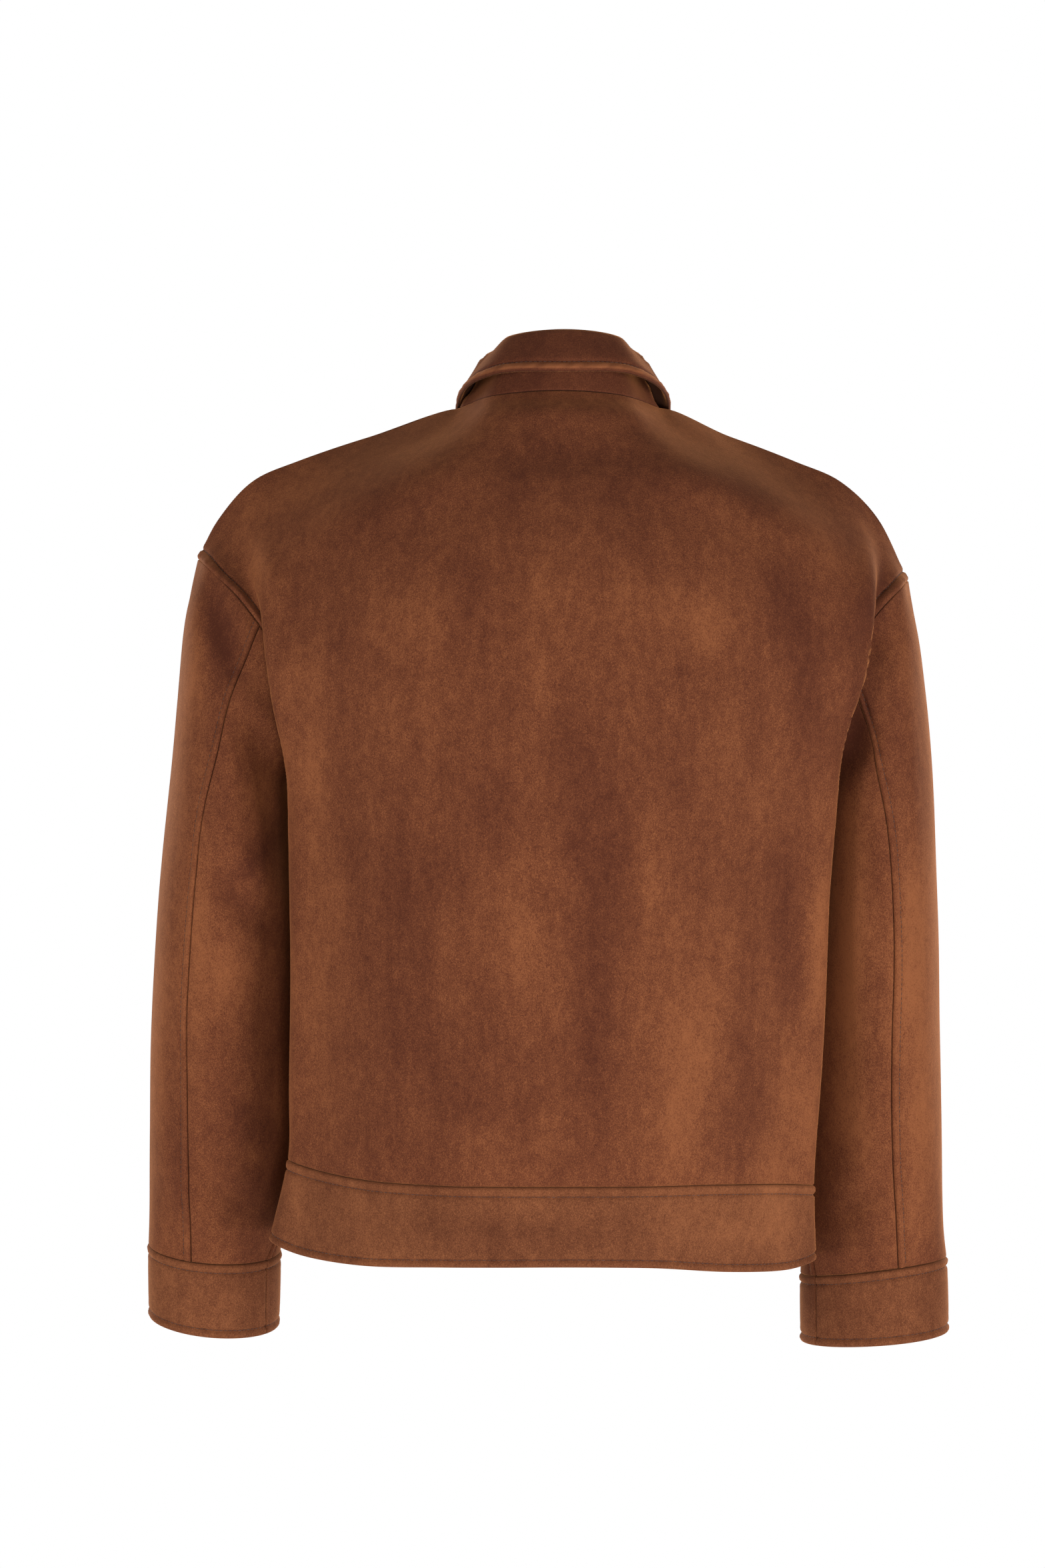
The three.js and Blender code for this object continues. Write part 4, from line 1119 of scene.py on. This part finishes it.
def frame_at(down):
    """Place on the centre front at a row, with the outward direction, across and down the front."""
    zero = np.zeros(1)
    place = net_place(NETS["front"], zero, zero + down)[0]
    up = net_normal("front", zero, zero + down)[0]
    across = np.cross(up, (0, 0, -1.0))
    across /= np.linalg.norm(across)
    return place, up, across, np.cross(up, across)


def lathe_faces(rows, columns):
    """Quads round a closed polar grid."""
    at = np.arange(rows * columns).reshape(rows, columns)
    beside = np.roll(at, -1, axis=1)
    return np.stack([at[1:], beside[1:], beside[:-1], at[:-1]], axis=-1).reshape(-1, 4)


buttons, button_threads, holes = [], [], []
shape = button_places()
for number, down in enumerate(BUTTON_ROWS, start=1):
    place, up, across, below = frame_at(down)
    axes = np.stack([across, below, up])
    on_band = SEAM_RIB * BAND_SWELL if down > WAIST_ROW else 0.0
    surface = CLOTH + LAP_SPACE + on_band
    centre = place + up * (surface + BUTTON_SPACE + BUTTON_THICKNESS / 2)
    faces = lathe_faces(*shape.shape[:2])
    turned = mesh_object(f"jacket_button_{number}", shape.reshape(-1, 3) @ axes + centre, faces)
    button = close_poles(turned)
    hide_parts(f"button_{number}")
    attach(button, "root")
    buttons.append(button)
    beside = [side * HOLE_OFFSET + turn for side in (-1, 1) for turn in (-0.17, 0.17)]
    middles = np.array([(0, y, BUTTON_THICKNESS / 2 - 0.75 + lift) for lift in (0, 0.3) for y in beside])
    length = 2 * HOLE_OFFSET + 1.2
    button_threads.append(bars(middles @ axes + centre, across, up, length, BUTTON_THREAD, sink=0.9))
    along = np.linspace(-BUTTONHOLE / 2, BUTTONHOLE / 2, 27)
    rows = np.concatenate([point(along, side * HOLE_SIDE, 0) for side in (-1, 1)])
    end = BUTTONHOLE / 2 + 0.4
    ends = np.array([(side * end, y, 0) for side in (-1, 1) for y in (-HOLE_SIDE, -0.3, 0.3, HOLE_SIDE)])
    flat_rows = rows @ np.stack([below, across, up])
    flat_ends = ends @ np.stack([below, across, up])
    top = place + up * (surface + 0.25) + below * 2.5
    for spots, way, length in ((flat_rows, across, 1.9), (flat_ends, below, 1.8)):
        holes.append(bars(spots + top, way, up, length, HOLE_THREAD))


def joined(name, parts):
    """Several sets of vertices and faces as one object."""
    counts = np.cumsum([0] + [len(vertices) for vertices, _ in parts])
    vertices = np.concatenate([vertices for vertices, _ in parts])
    faces = np.concatenate([faces + start for (_, faces), start in zip(parts, counts)])
    made = close_poles(mesh_object(name, vertices, faces))
    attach(made, "root")
    return made


threads["buttons"] = joined("button_threads", button_threads)
threads["holes"] = joined("buttonhole_stitches", holes)
print("buttons:", len(buttons))

# %% [markdown]
# Now the finishes. Three small helpers serve all materials: one turns a colour written as on a colour
# chart into linear light, one adds a shader node with its settings and its links, and one starts a
# material with its shader and output.

# %% Helpers for materials


def colour(code):
    """Linear red, green, blue and alpha from an sRGB hex value."""
    channels = np.array([int(code[i : i + 2], 16) for i in (1, 3, 5)]) / 255
    linear = np.where(channels <= 0.04045, channels / 12.92, ((channels + 0.055) / 1.055) ** 2.4)
    return (*linear.tolist(), 1.0)


def add(material, kind, settings=None, inputs=None):
    """A new node of a kind, with its settings; inputs are values, or sockets of other nodes to link."""
    node = material.node_tree.nodes.new(kind)
    for key, value in (settings or {}).items():
        setattr(node, key, value)
    for key, value in (inputs or {}).items():
        if isinstance(value, bpy.types.NodeSocket):
            material.node_tree.links.new(value, node.inputs[key])
        else:
            node.inputs[key].default_value = value
    return node


def new_material(name):
    """An empty material with its output, and the shader that is to be linked into it."""
    material = bpy.data.materials.new(name)
    material.use_nodes = True
    material.node_tree.nodes.clear()
    shader = add(material, "ShaderNodeBsdfPrincipled")
    add(material, "ShaderNodeOutputMaterial", inputs={"Surface": shader.outputs["BSDF"]})
    return material, shader


# %% [markdown]
# Suede, here a woven polyester microfibre that has been sanded until its surface is all short fibres.
# What gives it away is the nap: fibres lie in patches, and a patch that leans away looks darker, in
# soft clouds 40 to 120 mm wide and in faint streaks down the cloth. Between them is a grain of
# fibre tufts one to two millimetres long. The fibres stand up, so the cloth glows faintly at its
# outlines: that is sheen, not gloss. Its roughness is near one and there is almost no highlight.

# %% Suede
CLOUD = 13.0                    # patches to the metre: clouds of nap about 75 mm wide
STREAK = 42.0                   # faint brush strokes about 24 mm wide and five times as long
MOTTLE = 170.0                  # small patches about 6 mm wide, where the sanding has caught unevenly
TUFT = 1050.0                   # tufts about 1 mm apart, drawn coarser than real fibres, to show
SUEDE_TONES = ("#482112", "#63341d", "#844d2c")
# The band's tones are a lit copy of the same suede: painted light, a little paler on the waistband and
# cuffs.
LIT_BAND_TONES = ("#4f2815", "#693b22", "#875130")
# The collar's tones are a shaded copy of the same suede: painted shade, darker where the collar leans back.
SHADED_COLLAR_TONES = ("#421d10", "#532917", "#683820")
INNER_TONE = "#4a2c1e"
NAP_AND_PAINTED_LIGHT_SHARE = 0.12            # how much the patches of nap and painted light and shade count beside the clouds
PAINTED_SEAM_SHADE = 0.72                # how far the painted shade in a seam's groove covers the nap


def suede(name, tones, pale, dark, highlight_share):
    """Brushed microfibre suede: clouds and streaks of nap, tufts, a painted highlight on raised welts and
    painted shade in the seams.

    The tilt of the nap is a sum: patches of nap mixed with painted highlights and painted shade, and layers
    of noise, each times its share. The colour starts at the darkest tone and is covered in turn by the next
    tones, as the nap leans towards the eye, by a pale painted highlight where the cloth stands proud, and
    by painted shade where it lies down in a seam.
    """
    material, shader = new_material(name)
    place = add(material, "ShaderNodeTexCoord").outputs["Object"]
    long_way = add(material, "ShaderNodeMapping", inputs={"Vector": place, "Scale": (1, 1, 0.22)})
    tall = add(material, "ShaderNodeMapping", inputs={"Vector": place, "Scale": (1, 1, 0.62)})
    leaning = add(material, "ShaderNodeMapping", inputs={
        "Vector": place, "Rotation": (0, 0.5, 0), "Scale": (1, 1, 0.62),
    })
    layers = (
        (tall, CLOUD, 0.37), (long_way, STREAK, 0.25), (tall, MOTTLE, 0.3),
        (leaning, 2 * TUFT, 0.6), (leaning, TUFT, 0.5),
    )
    # The colour reads patches of nap mixed with painted highlights and painted shade.
    nap_and_painted_light = add(material, "ShaderNodeAttribute", {"attribute_name": "nap_and_painted_light"}).outputs["Fac"]
    middle = 0.5 - 0.5 * sum(share for _, _, share in layers)
    lean_and_painted_light = add(material, "ShaderNodeMath", {"operation": "MULTIPLY_ADD"}, {
        0: nap_and_painted_light, 1: NAP_AND_PAINTED_LIGHT_SHARE, 2: middle,
    })
    for stretched, scale, share in layers:
        patches = add(material, "ShaderNodeTexNoise", inputs={
            "Vector": stretched.outputs["Vector"], "Scale": scale, "Detail": 3.0, "Roughness": 0.6,
        })
        lean_and_painted_light = add(material, "ShaderNodeMath", {"operation": "MULTIPLY_ADD"}, {
            0: patches.outputs["Fac"], 1: share, 2: lean_and_painted_light.outputs[0],
        })
    height = add(material, "ShaderNodeAttribute", {"attribute_name": "height"}).outputs["Fac"]
    # After the tones of the nap, the last two layers are painted light: a pale highlight where the cloth
    # stands proud, and shade down in a seam's groove.
    tone = colour(tones[0])
    for value, start, end, most, over in (
        (lean_and_painted_light.outputs[0], 0.28, 0.5, 1.0, tones[1]), (lean_and_painted_light.outputs[0], 0.5, 0.74, 1.0, tones[2]),
        (height, 0.5, 1.6, highlight_share, pale), (height, -0.25, -1.1, PAINTED_SEAM_SHADE, dark),
    ):
        share = add(material, "ShaderNodeMapRange", inputs={
            "Value": value, "From Min": start, "From Max": end, "To Max": most,
        })
        tone = add(material, "ShaderNodeMix", {"data_type": "RGBA"}, {
            "Factor": share.outputs["Result"], 6: tone, 7: colour(over),
        }).outputs[2]
    side = add(material, "ShaderNodeAttribute", {"attribute_name": "nap_side"}).outputs["Fac"]
    backed = add(material, "ShaderNodeMix", {"data_type": "RGBA"}, {
        "Factor": side, 6: colour(INNER_TONE), 7: tone,
    })
    rough = add(material, "ShaderNodeMapRange", inputs={
        "Value": lean_and_painted_light.outputs[0], "To Min": 0.98, "To Max": 0.8,
    })
    bump = add(material, "ShaderNodeBump", inputs={
        "Height": patches.outputs["Fac"], "Strength": 0.42, "Distance": 0.0005,
    })
    links = material.node_tree.links
    links.new(backed.outputs[2], shader.inputs["Base Color"])
    links.new(rough.outputs["Result"], shader.inputs["Roughness"])
    links.new(bump.outputs["Normal"], shader.inputs["Normal"])
    shader.inputs["IOR"].default_value = 1.45
    shader.inputs["Specular IOR Level"].default_value = 0.22
    shader.inputs["Sheen Weight"].default_value = 0.95
    shader.inputs["Sheen Roughness"].default_value = 0.33
    shader.inputs["Sheen Tint"].default_value = colour("#c98450")
    return material


# In each finish the pale colour is a painted highlight on raised cloth and the dark one painted shade in
# seams; on the collar the highlight is paler and counts for more.
suede_finish = {
    "suede": suede("microfibre_suede_brown", SUEDE_TONES, "#8a5030", "#2b130a", 0.12),
    "suede_band": suede("microfibre_suede_lit_band", LIT_BAND_TONES, "#8a5030", "#2b130a", 0.12),
    "suede_collar": suede("microfibre_suede_shaded_collar", SHADED_COLLAR_TONES, "#a4643c", "#200e08", 0.45),
}
SLOTS = {"waistband": "suede_band", "cuff": "suede_band", "collar": "suede_collar"}
for name, piece in cloth.items():
    slot = SLOTS.get(name.split("_")[0], "suede")
    piece.object.data.materials.append(suede_finish[slot])
print("finishes of cloth:", sorted(suede_finish))

# %% [markdown]
# The thread is spun polyester, two strands twisted, which shows as a fine slanted ripple. The buttons
# are turned from polyester resin made to look like horn, with cloudy streaks and a polished rim.

# %% Thread and buttons


def spun_thread():
    """Spun polyester sewing thread, dull, with the ripple of its twist."""
    material, shader = new_material("spun_polyester_thread")
    place = add(material, "ShaderNodeTexCoord").outputs["Object"]
    twist = add(material, "ShaderNodeTexWave", {"bands_direction": "DIAGONAL"}, {
        "Vector": place, "Scale": 900.0, "Distortion": 1.0,
    })
    shade = add(material, "ShaderNodeMix", {"data_type": "RGBA"}, {
        "Factor": twist.outputs["Fac"], 6: colour("#2e1409"), 7: colour("#4a2412"),
    })
    material.node_tree.links.new(shade.outputs[2], shader.inputs["Base Color"])
    bump = add(material, "ShaderNodeBump", inputs={
        "Height": twist.outputs["Fac"], "Strength": 0.4, "Distance": 0.0001,
    })
    material.node_tree.links.new(bump.outputs["Normal"], shader.inputs["Normal"])
    shader.inputs["Roughness"].default_value = 0.7
    shader.inputs["Sheen Weight"].default_value = 0.2
    return material


def horn_resin():
    """Turned polyester resin like horn: dark, cloudy, polished."""
    material, shader = new_material("turned_horn_resin")
    place = add(material, "ShaderNodeTexCoord").outputs["Object"]
    stretched = add(material, "ShaderNodeMapping", inputs={
        "Vector": place, "Rotation": (0.3, 0.2, 0.5), "Scale": (1, 1, 0.3),
    })
    clouds = add(material, "ShaderNodeTexNoise", inputs={
        "Vector": stretched.outputs["Vector"], "Scale": 260.0, "Detail": 3.0,
    })
    cloudy = add(material, "ShaderNodeMapRange", inputs={
        "Value": clouds.outputs["Fac"], "From Min": 0.35, "From Max": 0.75,
    })
    shade = add(material, "ShaderNodeMix", {"data_type": "RGBA"}, {
        "Factor": cloudy.outputs["Result"], 6: colour("#22120a"), 7: colour("#6a4628"),
    })
    fine = add(material, "ShaderNodeTexNoise", inputs={"Vector": place, "Scale": 1500.0})
    bump = add(material, "ShaderNodeBump", inputs={
        "Height": fine.outputs["Fac"], "Strength": 0.08, "Distance": 0.0001,
    })
    material.node_tree.links.new(shade.outputs[2], shader.inputs["Base Color"])
    material.node_tree.links.new(bump.outputs["Normal"], shader.inputs["Normal"])
    shader.inputs["IOR"].default_value = 1.55
    shader.inputs["Roughness"].default_value = 0.26
    shader.inputs["Coat Weight"].default_value = 0.25
    shader.inputs["Coat Roughness"].default_value = 0.12
    return material


thread_finish, button_finish = spun_thread(), horn_resin()
for thread in threads.values():
    thread.data.materials.append(thread_finish)
for button in buttons:
    button.data.materials.append(button_finish)

# %% [markdown]
# Each piece of cloth is printed with the size it was cut to. The cloth is neither stretched nor eased
# here, so the cut is the size of the finished surface, without the allowances that vanish inside a seam.

# %% Sheets
for name, piece in cloth.items():
    print(name, "cut to", round(piece.width), "x", round(piece.length), "mm, area", round(piece.area / 100))

# %% [markdown]
# The jacket hangs at the height where a wearer would hold it, so the floor lies well below it. The
# photograph is lit by large soft lamps beside the camera, a little below the chest: cloth that faces
# the camera is bright, and the shoulders and the collar, which lean back, fall off into the dark.

# %% Floor and light
FLOOR_DEPTH, FLOOR_RADIUS = 1.45, 3.0


def pale_floor():
    """A round pale floor that fades out towards its edge, so that no horizon shows."""
    turn = 2 * np.pi * np.arange(96) / 96
    rings = np.linspace(0, 1, 9)[:, None] * FLOOR_RADIUS / MM
    places = point(rings * np.cos(turn), rings * np.sin(turn), -FLOOR_DEPTH / MM)
    floor = close_poles(mesh_object("floor", places.reshape(-1, 3), lathe_faces(*places.shape[:2])))
    material, shader = new_material("painted_floor")
    place = add(material, "ShaderNodeTexCoord").outputs["Object"]
    flat = add(material, "ShaderNodeMapping", inputs={"Vector": place, "Scale": (1, 1, 0)})
    distance = add(material, "ShaderNodeVectorMath", {"operation": "LENGTH"}, {0: flat.outputs["Vector"]})
    fade = add(material, "ShaderNodeMapRange", inputs={
        "Value": distance.outputs["Value"], "From Min": 1.2, "From Max": FLOOR_RADIUS,
        "To Min": 1.0, "To Max": 0.0,
    })
    shader.inputs["Base Color"].default_value = colour("#efece8")
    shader.inputs["Roughness"].default_value = 0.9
    material.node_tree.links.new(fade.outputs["Result"], shader.inputs["Alpha"])
    floor.data.materials.append(material)


def soft_lamp(name, place, aim, size, power):
    """A square area lamp at a place, turned towards its aim."""
    data = bpy.data.lights.new(name, "AREA")
    data.shape = "SQUARE"
    data.size = size
    data.energy = power
    lamp = bpy.data.objects.new(name, data)
    way = np.array(aim) - np.array(place)
    flat = np.hypot(way[0], way[1])
    lamp.location = place
    lamp.rotation_euler = (np.arctan2(flat, -way[2]), 0, np.arctan2(way[1], way[0]) - np.pi / 2)
    bpy.context.scene.collection.objects.link(lamp)


pale_floor()
soft_lamp("lamp_left", (-2.5, -1.7, -0.55), (0, 0, -0.4), 1.3, 52)
soft_lamp("lamp_right", (2.5, -1.6, -0.6), (0, 0, -0.4), 1.3, 64)
soft_lamp("lamp_low", (0.3, -2.9, -1.0), (0, 0, -0.5), 0.8, 30)
soft_lamp("lamp_far_left", (-1.7, 2.3, 0.2), (0, 0, -0.35), 1.5, 34)
soft_lamp("lamp_far_right", (1.7, 2.3, 0.1), (0, 0, -0.35), 1.5, 34)

world = bpy.data.worlds.new("studio")
bpy.context.scene.world = world
world.use_nodes = True
world.node_tree.nodes.clear()
seen = add(world, "ShaderNodeLightPath")
shown = add(world, "ShaderNodeBackground", inputs={"Color": (1, 1, 1, 1)})
lighting = add(world, "ShaderNodeBackground", inputs={"Color": (1, 1, 1, 1), "Strength": 0.25})
either = add(world, "ShaderNodeMixShader", inputs={
    "Fac": seen.outputs["Is Camera Ray"], 1: lighting.outputs["Background"], 2: shown.outputs["Background"],
})
add(world, "ShaderNodeOutputWorld", inputs={"Surface": either.outputs["Shader"]})
bpy.context.scene.view_settings.view_transform = "Standard"
